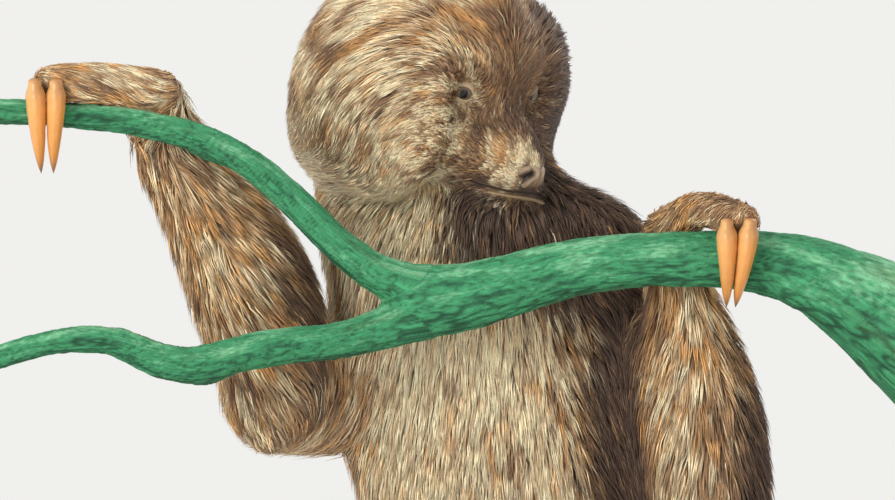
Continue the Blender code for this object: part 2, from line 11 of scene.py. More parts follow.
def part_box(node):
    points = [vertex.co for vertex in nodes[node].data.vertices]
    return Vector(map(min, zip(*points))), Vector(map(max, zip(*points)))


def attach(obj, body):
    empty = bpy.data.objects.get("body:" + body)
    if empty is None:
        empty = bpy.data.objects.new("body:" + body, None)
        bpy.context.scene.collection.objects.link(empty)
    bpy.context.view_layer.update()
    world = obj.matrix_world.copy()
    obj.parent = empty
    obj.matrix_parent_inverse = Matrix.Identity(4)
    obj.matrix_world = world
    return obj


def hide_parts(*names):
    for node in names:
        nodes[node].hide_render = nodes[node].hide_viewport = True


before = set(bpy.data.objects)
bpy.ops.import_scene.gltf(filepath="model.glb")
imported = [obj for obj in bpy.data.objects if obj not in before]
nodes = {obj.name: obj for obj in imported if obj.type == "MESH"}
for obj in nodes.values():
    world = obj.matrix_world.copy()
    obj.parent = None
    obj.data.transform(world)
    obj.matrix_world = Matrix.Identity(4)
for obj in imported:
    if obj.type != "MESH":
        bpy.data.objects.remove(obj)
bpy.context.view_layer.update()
dice = np.random.default_rng(11)


# small tools

def middle(node):
    low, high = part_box(node)
    return (low + high) / 2


def unit(rows):
    rows = np.asarray(rows, float)
    return rows / np.maximum(np.linalg.norm(rows, axis=-1, keepdims=True), 1e-9)


def smoothStep(value, low, high):
    t = np.clip((value - low) / (high - low), 0, 1)
    return t * t * (3 - 2 * t)


def coordsOf(mesh):
    flat = np.empty(len(mesh.vertices) * 3, np.float32)
    mesh.vertices.foreach_get("co", flat)
    return flat.reshape(-1, 3).astype(float)


def normalsOf(mesh):
    flat = np.empty(len(mesh.vertices) * 3, np.float32)
    mesh.vertex_normals.foreach_get("vector", flat)
    return flat.reshape(-1, 3).astype(float)


def edgesOf(mesh):
    flat = np.empty(len(mesh.edges) * 2, np.int32)
    mesh.edges.foreach_get("vertices", flat)
    return flat.reshape(-1, 2)


def setCoords(mesh, coords):
    mesh.vertices.foreach_set("co", coords.astype(np.float32).ravel())
    mesh.update()


def meshFromFaces(name, coords, faces):
    # faces is one array with three or four corners a row, or a list of such arrays
    groups = [np.asarray(group) for group in (faces if isinstance(faces, list) else [faces]) if len(group)]
    mesh = bpy.data.meshes.new(name)
    mesh.vertices.add(len(coords))
    mesh.vertices.foreach_set("co", np.asarray(coords, np.float32).ravel())
    corners = np.concatenate([group.ravel() for group in groups]).astype(np.int32)
    sizes = np.concatenate([np.full(len(group), group.shape[1]) for group in groups])
    mesh.loops.add(len(corners))
    mesh.loops.foreach_set("vertex_index", corners)
    mesh.polygons.add(len(sizes))
    mesh.polygons.foreach_set("loop_start", (np.cumsum(sizes) - sizes).astype(np.int32))
    mesh.update(calc_edges=True)
    mesh.validate()
    return mesh


def newPiece(name, mesh, smooth=True):
    piece = bpy.data.objects.new(name, mesh)
    bpy.context.scene.collection.objects.link(piece)
    if smooth:
        mesh.shade_smooth()
    return piece


def ownPiece(piece, slotName, *stoodFor):
    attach(piece, "root")
    if stoodFor:
        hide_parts(*stoodFor)
    return piece


def applied(piece):
    # the piece's mesh with its modifiers made real
    bpy.context.view_layer.update()
    graph = bpy.context.evaluated_depsgraph_get()
    mesh = bpy.data.meshes.new_from_object(piece.evaluated_get(graph))
    old = piece.data
    piece.modifiers.clear()
    piece.data = mesh
    bpy.data.meshes.remove(old)
    return piece


def cadShell(nodeNames, grow):
    # copies of CAD nodes in one mesh, each welded and swollen a little, so that they run into each other
    whole = bmesh.new()
    for name in nodeNames:
        part = bmesh.new()
        part.from_mesh(nodes[name].data)
        bmesh.ops.remove_doubles(part, verts=part.verts, dist=1e-5)
        part.normal_update()
        for vert in part.verts:
            vert.co += vert.normal * grow
        copy = bpy.data.meshes.new("copy")
        part.to_mesh(copy)
        part.free()
        whole.from_mesh(copy)
        bpy.data.meshes.remove(copy)
    mesh = bpy.data.meshes.new("shell")
    whole.to_mesh(mesh)
    whole.free()
    return mesh


def remeshed(name, mesh, voxel):
    piece = newPiece(name, mesh)
    step = piece.modifiers.new("remesh", "REMESH")
    step.mode = "VOXEL"
    step.voxel_size = voxel
    return applied(piece)


def relaxed(values, edges, rounds, share=0.5):
    # each row moves towards the mean of its neighbours
    count = len(values)
    degree = np.maximum(np.bincount(edges.ravel(), minlength=count), 1)[:, None]
    values = np.array(values, float).reshape(count, -1)
    for _ in range(rounds):
        total = np.zeros_like(values)
        for axis in range(values.shape[1]):
            total[:, axis] = (
                np.bincount(edges[:, 0], values[edges[:, 1], axis], count)
                + np.bincount(edges[:, 1], values[edges[:, 0], axis], count)
            )
        values += share * (total / degree - values)
    return values


def ringFaces(rings, turns, capped=True):
    # triangles between closed rings of points, and out to the two points after them that close the ends
    index = np.arange(rings * turns).reshape(rings, turns)
    after = np.roll(index, -1, axis=1)
    quads = np.stack([index[:-1], after[:-1], after[1:], index[1:]], axis=-1).reshape(-1, 4)
    faces = [quads[:, [0, 1, 2]], quads[:, [0, 2, 3]]]
    if capped:
        pole = np.full(turns, rings * turns)
        faces.append(np.stack([pole, after[0], index[0]], axis=1))
        faces.append(np.stack([pole + 1, index[-1], after[-1]], axis=1))
    return np.concatenate(faces)

def cutPoints(coords, edges, reach, cut):
    # where a plane across the mesh, at this reach, meets its edges
    a, b = reach[edges[:, 0]] - cut, reach[edges[:, 1]] - cut
    crossing = a * b < 0
    share = (a[crossing] / (a[crossing] - b[crossing]))[:, None]
    return coords[edges[crossing, 0]] * (1 - share) + coords[edges[crossing, 1]] * share

def noiseAt(points, scale, seed=0.0):
    shift = Vector((seed, seed * 1.7, -seed))
    return np.array([noise.noise(Vector(p) * scale + shift) for p in points])


# the head's own axes, from its eyes and nose

headShape = {
    "noseDrop": 32.06,   # degrees from the line of sight down to the nose, seen from between the eyes
    "eyesAhead": 0.0453,   # the eyes' middle from the head's own middle, forward and up
    "eyesAbove": 0.01561,
}

leftAxis = (middle("eye_left") - middle("eye_right")).normalized()
eyesMiddle = (middle("eye_left") + middle("eye_right")) / 2
forwardAxis = Matrix.Rotation(-math.radians(headShape["noseDrop"]), 3, leftAxis) @ (
    (middle("nose") - eyesMiddle).normalized()
)
upAxis = forwardAxis.cross(leftAxis)
headMiddle = eyesMiddle - forwardAxis * headShape["eyesAhead"] - upAxis * headShape["eyesAbove"]
headAxes = np.array([forwardAxis, leftAxis, upAxis])


def toHead(points):
    return (np.asarray(points, float) - np.array(headMiddle)) @ headAxes.T


def fromHead(points):
    return np.asarray(points, float) @ headAxes + np.array(headMiddle)


# how the coat lies on each part: depth of the coat, length of its locks, and where they point from and to

coatPlan = {
    "head": {"depth": 0.0056, "length": 0.0190, "pale": 0.60, "lie": None},
    "ear_left": {"depth": 0.0030, "length": 0.0100, "pale": 0.35, "lie": None},
    "ear_right": {"depth": 0.0030, "length": 0.0100, "pale": 0.35, "lie": None},
    # the neck's full pale share is partly its own pale fur, partly painted light against the head's shadow
    "neck": {"depth": 0.0070, "length": 0.0210, "pale": 1.00, "lie": ("neck", "belly")},
    "chest": {"depth": 0.0072, "length": 0.0250, "pale": 0.80, "lie": ("chest", "belly")},
    "belly": {"depth": 0.0080, "length": 0.0290, "pale": 0.80, "lie": ("chest", "belly")},
    "tail": {"depth": 0.0050, "length": 0.0180, "pale": 0.35, "lie": ("belly", "tail")},
    "upper_arm_left": {"depth": 0.0065, "length": 0.0260, "pale": 0.20, "lie": ("neck", "upper_arm_left")},
    "upper_arm_right": {"depth": 0.0065, "length": 0.0260, "pale": 0.25, "lie": ("neck", "upper_arm_right")},
    "forearm_left": {"depth": 0.0060, "length": 0.0280, "pale": 0.30, "lie": ("hand_left", "forearm_left")},
    "forearm_right": {"depth": 0.0060, "length": 0.0280, "pale": 0.35,
        "lie": ("hand_right", "forearm_right")},
    "hand_left": {"depth": 0.0012, "length": 0.0140, "pale": 0.10,
        "lie": ("forearm_left", "claw_hand_left_1")},
    "hand_right": {"depth": 0.0012, "length": 0.0140, "pale": 0.20,
        "lie": ("forearm_right", "claw_hand_right_1")},
    "thigh_left": {"depth": 0.0080, "length": 0.0280, "pale": 0.35, "lie": ("belly", "thigh_left")},
    "thigh_right": {"depth": 0.0080, "length": 0.0280, "pale": 0.35, "lie": ("belly", "thigh_right")},
    "shank_left": {"depth": 0.0060, "length": 0.0220, "pale": 0.35, "lie": ("shank_left", "foot_left")},
    "shank_right": {"depth": 0.0060, "length": 0.0220, "pale": 0.35, "lie": ("shank_right", "foot_right")},
    "foot_left": {"depth": 0.0030, "length": 0.0100, "pale": 0.30, "lie": ("shank_left", "claw_foot_left_2")},
    "foot_right": {"depth": 0.0030, "length": 0.0100, "pale": 0.30,
        "lie": ("shank_right", "claw_foot_right_2")},
}
fleshNodes = list(coatPlan)


# skin

skinShape = {
    "voxel": 0.0024,   # size of the first mesh's cells
    "seal": 0.0009,   # how far the parts swell to close their cuts
    "steps": 8,   # the coat's depth is taken off in this many passes
    "fineVoxel": 0.0027,
    "muzzleDepth": 0.0022,   # coat on the muzzle and round the eyes
    "noseDepth": 0.0009, "noseReach": 0.0150,   # and close to the nose
    "faceEdge": (0.022, 0.050),   # metres ahead of the head's middle where the face's coat begins and is full
}


def partOfEach(points):
    # the flesh node whose surface is nearest to each point
    samples, owners = [], []
    for index, name in enumerate(fleshNodes):
        mesh = nodes[name].data
        centres = np.empty(len(mesh.polygons) * 3, np.float32)
        mesh.polygons.foreach_get("center", centres)
        both = np.concatenate([centres.reshape(-1, 3), coordsOf(mesh)])
        samples.append(both)
        owners.append(np.full(len(both), index))
    samples, owners = np.concatenate(samples), np.concatenate(owners)
    tree = KDTree(len(samples))
    for i, point in enumerate(samples):
        tree.insert(point, i)
    tree.balance()
    return np.array([owners[tree.find(p)[1]] for p in points])


def faceShare(points):
    # 1 on the muzzle and between the eyes, 0 on the rest of the head
    inHead = toHead(points)
    low, high = skinShape["faceEdge"]
    near = smoothStep(inHead[:, 0] - 0.30 * np.abs(inHead[:, 2] + 0.010), low, high)
    return near * (np.abs(inHead[:, 1]) < 0.08) * (np.linalg.norm(inHead, axis=1) < 0.13)


def coatDepthAt(points, parts, edges):
    plan = np.array([coatPlan[name]["depth"] for name in fleshNodes])[parts]
    onHead = np.isin(parts, [fleshNodes.index("head")])
    face = faceShare(points) * onHead
    plan = plan * (1 - face) + skinShape["muzzleDepth"] * face
    plan = relaxed(plan, edges, 24)[:, 0]
    fromNose = np.linalg.norm(points - np.array(middle("nose")), axis=1)
    nearNose = np.exp(-(fromNose / skinShape["noseReach"]) ** 4)
    return plan * (1 - nearNose) + skinShape["noseDepth"] * nearNose


def makeBareSkin():
    plugs = ["eye_left", "eye_right", "nose"]   # these close the hollows that they sit in
    skin = remeshed("roughSkin", cadShell(fleshNodes + plugs, skinShape["seal"]), skinShape["voxel"])
    mesh = skin.data
    coords, edges = coordsOf(mesh), edgesOf(mesh)
    parts = partOfEach(coords)
    depth = coatDepthAt(coords, parts, edges) + skinShape["seal"]
    outer = relaxed(coords, edges, 4)
    setCoords(mesh, outer)
    for _ in range(skinShape["steps"]):
        inward = normalsOf(mesh) * (depth / skinShape["steps"])[:, None]
        setCoords(mesh, relaxed(coordsOf(mesh) - inward, edges, 1, 0.3))
    skin = remeshed("slothSkin", mesh, skinShape["fineVoxel"])
    setCoords(skin.data, relaxed(coordsOf(skin.data), edgesOf(skin.data), 3))
    return skin



# face: soft pushes and dents of the bare skin, each as (ahead, aside, up) in the head's own axes,
# its reach, and how far out it goes

faceMoves = {
    "brow": ((0.0500, 0.0300, 0.0290), 0.0110, 0.0014),
    "cheek": ((0.0600, 0.0330, -0.0060), 0.0120, 0.0012),
    "innerCorner": ((0.0620, 0.0190, 0.0080), 0.0070, -0.0010),
    "whiskerPad": ((0.0830, 0.0120, -0.0180), 0.0070, 0.0012),
    "lipCorner": ((0.0680, 0.0240, -0.0240), 0.0050, -0.0012),
    "ruff": ((0.0200, 0.0660, 0.0300), 0.0300, 0.0028),
    "bridge": ((0.0640, 0.0000, 0.0060), 0.0120, 0.0018),
    "chin": ((0.0750, 0.0000, -0.0350), 0.0085, 0.0022),
    "throat": ((0.0640, 0.0000, -0.0470), 0.0100, -0.0030),
}
faceFine = {   # where the skin's mesh is made finer, and how far round the face's middle it is evened out
    "middle": (0.060, 0, -0.005), "from": 0.030, "reach": 0.062, "cuts": 1, "evened": 0.045,
}
mouthLine = {
    "middle": 0.0610,   # centre of the lips' curve, ahead of the head's middle
    "radius": 0.0222, "wide": 1.08,   # and how much further it reaches aside
    "up": -0.0268,
    "lift": 0.0006,   # rise of the corners
    "bow": 0.0050,   # rise under the nose
    "bowWide": 42,
    "turn": 84,   # degrees that the line runs round each way
    "bare": (0.0016, 0.0040),   # no tuft grows nearer than this to the line, below it and above
    "bareFrom": 0.060,   # metres ahead of the head's middle where that begins
}
noseShape = {
    "radii": (0.0076, 0.0100, 0.0074),
    "place": (-0.0022, 0, -0.0018),   # of its middle, from the CAD nose's
    "lean": 12,   # degrees
    "dip": (1.04, 0.24, 0.50),   # the skin dives under the pad's rim: where, how wide and how far, in radii
    "bare": 0.84,   # no tuft grows nearer than this many radii
}


def toPad(inHead):
    # places in the nose pad's own frame
    away = np.asarray(inHead) - toHead([middle("nose")])[0] - noseShape["place"]
    lean = math.radians(noseShape["lean"])
    ahead, aside, above = away.T
    return np.stack([
        ahead * math.cos(lean) - above * math.sin(lean),
        aside,
        above * math.cos(lean) + ahead * math.sin(lean),
    ], axis=1)


def fromPad(local):
    lean = math.radians(noseShape["lean"])
    ahead, aside, above = np.asarray(local).T
    turned = np.stack([
        ahead * math.cos(lean) + above * math.sin(lean),
        aside,
        above * math.cos(lean) - ahead * math.sin(lean),
    ], axis=1)
    return turned + toHead([middle("nose")])[0] + noseShape["place"]


def finerFace(piece):
    # cuts the skin's edges on the face in half
    mesh = bmesh.new()
    mesh.from_mesh(piece.data)
    bmesh.ops.triangulate(mesh, faces=mesh.faces)
    inHead = toHead([vert.co for vert in mesh.verts])
    away = np.linalg.norm(inHead - faceFine["middle"], axis=1)
    fine = (inHead[:, 0] > faceFine["from"]) & (away < faceFine["reach"])
    edges = [edge for edge in mesh.edges if all(fine[vert.index] for vert in edge.verts)]
    bmesh.ops.subdivide_edges(mesh, edges=edges, cuts=faceFine["cuts"], use_grid_fill=True)
    bmesh.ops.triangulate(mesh, faces=mesh.faces)
    mesh.to_mesh(piece.data)
    mesh.free()


def mouthHeight(turn):
    # height of the line of the shut lips, this many degrees round from straight ahead
    bow = mouthLine["bow"] * np.exp(-(turn / mouthLine["bowWide"]) ** 2)
    return mouthLine["up"] + mouthLine["lift"] * (turn / mouthLine["turn"]) ** 2 + bow

def mouthDistance(inHead):
    # distance to the line of the shut lips, and the height above it
    ahead = inHead[:, 0] - mouthLine["middle"]
    turn = np.degrees(np.arctan2(inHead[:, 1], ahead))
    limit = np.clip(turn, -mouthLine["turn"], mouthLine["turn"])
    around = np.radians(limit)
    lift = mouthHeight(limit)
    nearest = np.stack([
        mouthLine["middle"] + mouthLine["radius"] * np.cos(around),
        mouthLine["wide"] * mouthLine["radius"] * np.sin(around),
        lift,
    ], axis=1)
    across = inHead - nearest
    across[:, :2] *= 0.25   # the lips part level, so depth counts for little
    return np.linalg.norm(across, axis=1), inHead[:, 2] - lift


def sculptFace(piece):
    mesh = piece.data
    coords, normals = coordsOf(mesh), normalsOf(mesh)
    inHead = toHead(coords)
    push = np.zeros(len(coords))
    for centre, reach, out in faceMoves.values():
        for side in (1, -1):
            if side < 0 and centre[1] == 0:
                continue
            away = np.linalg.norm(inHead - np.array(centre) * (1, side, 1), axis=1)
            push += out * np.exp(-(away / reach) ** 2)
    coords = coords + normals * push[:, None]
    near = np.exp(-(np.linalg.norm(inHead - faceFine["middle"], axis=1) / faceFine["evened"]) ** 4)[:, None]
    coords = coords * (1 - near) + relaxed(coords, edgesOf(mesh), 3) * near
    local = toPad(toHead(coords))
    far = np.linalg.norm(local / noseShape["radii"], axis=1)
    where, wide, deep = noseShape["dip"]
    dip = deep * np.exp(-((far - where) / wide) ** 2) * smoothStep(local[:, 0], -0.004, 0.001)
    setCoords(mesh, fromHead(fromPad(local * (1 - dip / np.maximum(far, 0.1))[:, None])))


# eyes: an almond opening between two lids, its inner corner towards the nose

eyeShape = {
    "splay": 31,   # degrees that the eyes look out to the sides
    "tilt": 0.08,   # and how far up, as a slope
    "innerWay": (1.0, 0.5, -0.05),   # from the eye to its inner corner, in the head's axes
    "halfWide": 54, "above": 34, "below": 27,   # the opening, in degrees about the eye's middle
    "tear": 16,   # how much further the inner corner runs
    "lidThick": 0.0008,
    "seat": 9, "seatTilt": 0.16,   # which way the face looks round the eye
    "orbit": 0.0026,   # height of the skin close round the eyeball, over its middle
    "orbitRise": 0.0024, "orbitReach": (0.0050, 0.0125),   # and how it comes up to the face
    "lidCentre": (0.0012, 0.0), "lidRadii": (0.0088, 0.0078),   # where the lids end on the skin
    "bareRadii": (0.0056, 0.0042),   # no tuft grows within these
}


class Eye:
    def __init__(self, name, side):
        low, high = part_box(name)
        self.name, self.side = name, side
        self.middle = np.array((low + high) / 2)
        self.radius = float((high - low)[2]) / 2
        splay = math.radians(eyeShape["splay"])
        self.look = unit([math.cos(splay), side * math.sin(splay), eyeShape["tilt"]]) @ headAxes
        inner = np.array(eyeShape["innerWay"]) * (1, -side, 1) @ headAxes
        self.inner = unit(inner - self.look * (inner @ self.look))
        self.over = np.cross(self.look, self.inner) * side
        if self.over @ np.array(upAxis) < 0:
            self.over = -self.over
        splay = math.radians(eyeShape["seat"])
        self.seat = unit([math.cos(splay), side * math.sin(splay), eyeShape["seatTilt"]]) @ headAxes
        self.seatIn = unit(inner - self.seat * (inner @ self.seat))
        self.seatUp = np.cross(self.seat, self.seatIn) * side
        if self.seatUp @ np.array(upAxis) < 0:
            self.seatUp = -self.seatUp

    def opening(self, around):
        # degrees from the middle of the opening to its edge, in the direction around, 0 at the inner corner
        tall = np.where(np.sin(around) > 0, eyeShape["above"], eyeShape["below"])
        edge = 1 / np.sqrt((np.cos(around) / eyeShape["halfWide"]) ** 2 + (np.sin(around) / tall) ** 2)
        turn = np.degrees(np.abs((around + np.pi) % (2 * np.pi) - np.pi))
        return edge + eyeShape["tear"] * np.exp(-(turn / 13) ** 2) + 3 * np.exp(-((180 - turn) / 12) ** 2)

    def way(self, around, off):
        # unit vectors off degrees from the look, in the direction around
        off = np.radians(off)[..., None]
        flat = np.cos(around)[..., None] * self.inner + np.sin(around)[..., None] * self.over
        return np.cos(off) * self.look + np.sin(off) * flat

    def onFace(self, points):
        # towards the nose, up, and height over the eye's middle, in the frame of the face round it
        away = np.asarray(points) - self.middle
        return np.stack([away @ self.seatIn, away @ self.seatUp, away @ self.seat], axis=-1)

    def offFace(self, places):
        return self.middle + places @ np.array([self.seatIn, self.seatUp, self.seat])

    def inRing(self, places, radii):
        # below 1 inside the oval of these radii round the lids
        across = (places[..., 0] + eyeShape["lidCentre"][0]) / radii[0]
        return np.hypot(across, (places[..., 1] - eyeShape["lidCentre"][1]) / radii[1])


eyes = [Eye("eye_left", 1), Eye("eye_right", -1)]


def makeOrbits(piece):
    # the face sinks a little round each eyeball, which stands out of it
    coords, edges = coordsOf(piece.data), edgesOf(piece.data)
    for eye in eyes:
        places = eye.onFace(coords)
        aside = np.hypot(places[:, 0], places[:, 1])
        start, end = eyeShape["orbitReach"]
        most = eyeShape["orbit"] + eyeShape["orbitRise"] * smoothStep(aside, start, end)
        most += np.maximum(aside - end, 0) * 1.2
        mine = (aside < 0.020) & (places[:, 2] > 0)
        places[mine, 2] = np.minimum(places[mine, 2], most[mine])
        coords = eye.offFace(places)
        near = np.exp(-(np.linalg.norm(coords - eye.middle, axis=1) / 0.017) ** 4)[:, None]
        coords = coords * (1 - near) + relaxed(coords, edges, 8) * near
    setCoords(piece.data, coords)


def largestBody(mesh):
    # the mesh without its loose crumbs
    edit = bmesh.new()
    edit.from_mesh(mesh)
    left, bodies = set(edit.verts), []
    while left:
        front = [left.pop()]
        body = set(front)
        while front:
            fresh = {edge.other_vert(vert) for vert in front for edge in vert.link_edges} - body
            body |= fresh
            front = list(fresh)
        left -= body
        bodies.append(body)
    keep = max(bodies, key=len)
    bmesh.ops.delete(edit, geom=[vert for vert in edit.verts if vert not in keep], context="VERTS")
    edit.to_mesh(mesh)
    edit.free()


skin = makeBareSkin()
largestBody(skin.data)
finerFace(skin)
sculptFace(skin)
makeOrbits(skin)
skinTree = BVHTree.FromPolygons(coordsOf(skin.data).tolist(), [tuple(f.vertices) for f in skin.data.polygons])
print("skin:", len(skin.data.polygons), "faces")


# lie of the coat

headLie = {
    "swirlAxis": (0.71, -0.70, -0.07),   # the right side's swirl: its axis and centre
    "swirlCentre": (0.050, -0.049, -0.008),
    "calm": 0.020, "calmWay": (-1.0, -0.25, -0.30),   # within this of the centre the hair just lies back
    "underJaw": (0.018, 0.038), "hangWay": (-0.65, -0.30, -0.80),   # below these depths it hangs
    "muzzle": (0.048, 0.062), "noseSpot": (0.092, 0, -0.012),   # ahead of these it lies back from the nose
    "lips": (0.008, 0.018), "level": 0.95,   # below these depths on the muzzle it runs along the lips
}


def headLieAt(points):
    inHead = toHead(points)
    side = np.where(inHead[:, 1] > 0, -1.0, 1.0)
    mirrored = inHead * np.stack([np.ones_like(side), side, np.ones_like(side)], axis=1)
    fromCentre = mirrored - headLie["swirlCentre"]
    lie = unit(np.cross(headLie["swirlAxis"], fromCentre))
    calm = np.exp(-(np.linalg.norm(fromCentre, axis=1) / headLie["calm"]) ** 2)[:, None]
    lie = lie * (1 - calm) + unit([headLie["calmWay"]]) * calm
    back = unit(mirrored - headLie["noseSpot"])
    low = smoothStep(-mirrored[:, 2], *headLie["lips"])
    back[:, 2] *= 1 - headLie["level"] * low
    muzzle = smoothStep(mirrored[:, 0], *headLie["muzzle"])[:, None]
    lie = lie * (1 - muzzle) + back * muzzle
    under = -mirrored[:, 2] - 0.35 * np.maximum(mirrored[:, 0] - 0.03, 0)
    hang = smoothStep(under, *headLie["underJaw"])[:, None]
    lie = lie * (1 - hang) + unit([headLie["hangWay"]]) * hang
    lie[:, 1] *= side
    return unit(lie) @ headAxes


def bodyLieAt(points, parts):
    lie = np.zeros((len(points), 3))
    spine = np.array(middle("belly") + middle("chest"))[:2] / 2
    for index, name in enumerate(fleshNodes):
        mine = parts == index
        if coatPlan[name]["lie"] is None:
            lie[mine] = headLieAt(points[mine])
            continue
        start, end = (middle(other) for other in coatPlan[name]["lie"])
        lie[mine] = np.array((end - start).normalized())
        if name in ("neck", "chest", "belly"):
            outward = np.zeros((mine.sum(), 3))
            outward[:, :2] = unit(points[mine][:, :2] - spine)
            lie[mine] = unit((0, 0, -1) + 0.22 * outward)
    return lie


faceCoat = {
    "length": 0.0075,   # of the hairs on the face
    "muzzle": (0.062, 0.078),   # metres ahead over which they shorten again
    "muzzleShare": 0.50,
    "eye": (0.0085, 0.0200),   # distances from an eye over which they grow to their full length
    "eyeShare": 0.34,
}


def roundEye(lie, coords, eye):
    # hairs that point at an eye turn past it
    away = coords - eye.middle
    away -= (away @ eye.look)[:, None] * eye.look
    far = np.linalg.norm(away, axis=1, keepdims=True)
    out = away / np.maximum(far, 1e-6)
    towards = np.minimum(np.sum(lie * out, axis=1, keepdims=True), 0)
    near = np.exp(-(far / 0.013) ** 2) * (np.linalg.norm(coords - eye.middle, axis=1, keepdims=True) < 0.03)
    return lie - 1.3 * near * towards * out + 0.25 * near * out


class Ground:
    # the skin, with what the coat needs to know at each of its points and faces
    def __init__(self, piece):
        mesh = piece.data
        self.coords, self.normals, self.edges = coordsOf(mesh), normalsOf(mesh), edgesOf(mesh)
        flat = np.empty(len(mesh.polygons) * 3, np.int32)
        mesh.polygons.foreach_get("vertices", flat)
        self.faces = flat.reshape(-1, 3)
        self.parts = partOfEach(self.coords)
        lie = bodyLieAt(self.coords, self.parts)
        for _ in range(8):
            lie = relaxed(lie, self.edges, 5)
            for eye in eyes:
                lie = roundEye(lie, self.coords, eye)
            lie = unit(lie - self.normals * np.sum(lie * self.normals, axis=1, keepdims=True))
        self.lie = lie
        onHead = np.isin(self.parts, [fleshNodes.index(n) for n in ("head", "ear_left", "ear_right")])
        self.face = relaxed(faceShare(self.coords) * onHead, self.edges, 6)[:, 0]
        self.depth = coatDepthAt(self.coords, self.parts, self.edges)
        lengths = np.array([coatPlan[name]["length"] for name in fleshNodes])[self.parts]
        lengths = relaxed(lengths, self.edges, 20)[:, 0]
        inHead = toHead(self.coords)
        muzzle = smoothStep(inHead[:, 0], *faceCoat["muzzle"]) * (self.face > 0.2)
        lengths = lengths * (1 - self.face) + faceCoat["length"] * self.face
        lengths *= 1 - (1 - faceCoat["muzzleShare"]) * muzzle
        for eye in eyes:
            far = np.linalg.norm(self.coords - eye.middle, axis=1)
            lengths *= faceCoat["eyeShare"] + (1 - faceCoat["eyeShare"]) * smoothStep(far, *faceCoat["eye"])
        self.length = lengths
        corners = self.coords[self.faces]
        cross = np.cross(corners[:, 1] - corners[:, 0], corners[:, 2] - corners[:, 0])
        self.faceArea = np.linalg.norm(cross, axis=1) / 2
        self.faceCentre = corners.mean(axis=1)
        self.faceNormal = unit(self.normals[self.faces].mean(axis=1))
        self.faceLie = unit(self.lie[self.faces].mean(axis=1))
        self.faceDepth = self.depth[self.faces].mean(axis=1)
        self.facePart = self.parts[self.faces[:, 0]]
        self.tree = BVHTree.FromPolygons(self.coords.tolist(), self.faces.tolist())
        self.faceBare = np.zeros(len(self.faces), bool)
        for eye in eyes:
            places = eye.onFace(self.faceCentre)
            self.faceBare |= (eye.inRing(places, eyeShape["bareRadii"]) < 1) & (np.abs(places[:, 2]) < 0.010)
        inHead = toHead(self.faceCentre)
        mouth, above = mouthDistance(inHead)
        byMouth = mouth < np.where(above > 0, *mouthLine["bare"][::-1])
        self.faceBare |= byMouth & (inHead[:, 0] > mouthLine["bareFrom"])
        self.faceBare |= np.linalg.norm(toPad(inHead) / noseShape["radii"], axis=1) < noseShape["bare"]

    def at(self, values, rows, weights):
        # values of the skin's points, mixed over the corners of these faces
        return np.einsum("ij,ij...->i...", weights, values[self.faces[rows]])


ground = Ground(skin)
print("lie of the coat: done")


# colours of the coat, the same on skin and tufts, with painted shade and painted light among them

tones = {   # as seen, 0 to 255
    "brown": (182, 144, 104),
    # umber and dark are darker hairs, and also the tones of the painted shade laid by the marks
    "umber": (122, 93, 73),
    "dark": (76, 60, 54),
    "ochre": (230, 172, 102),
    "cream": (255, 242, 206),
}


def linear(rgb):
    rgb = np.asarray(rgb, float) / 255
    return np.where(rgb <= 0.04045, rgb / 12.92, ((rgb + 0.055) / 1.055) ** 2.4)


def linearTones(seen):
    return {name: linear(rgb) for name, rgb in seen.items()}

def overlaid(colour, tone, amounts):
    # the colour with these tones laid over it, one after another, each by its own amounts
    for name, amount in amounts:
        colour = colour * (1 - amount[..., None]) + tone[name] * amount[..., None]
    return colour

toneOf = linearTones(tones)


def inBox(node, share):
    low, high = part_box(node)
    return [low[i] + (high[i] - low[i]) * share[i] for i in range(3)]


def headSpot(*place):
    return list(fromHead(place))
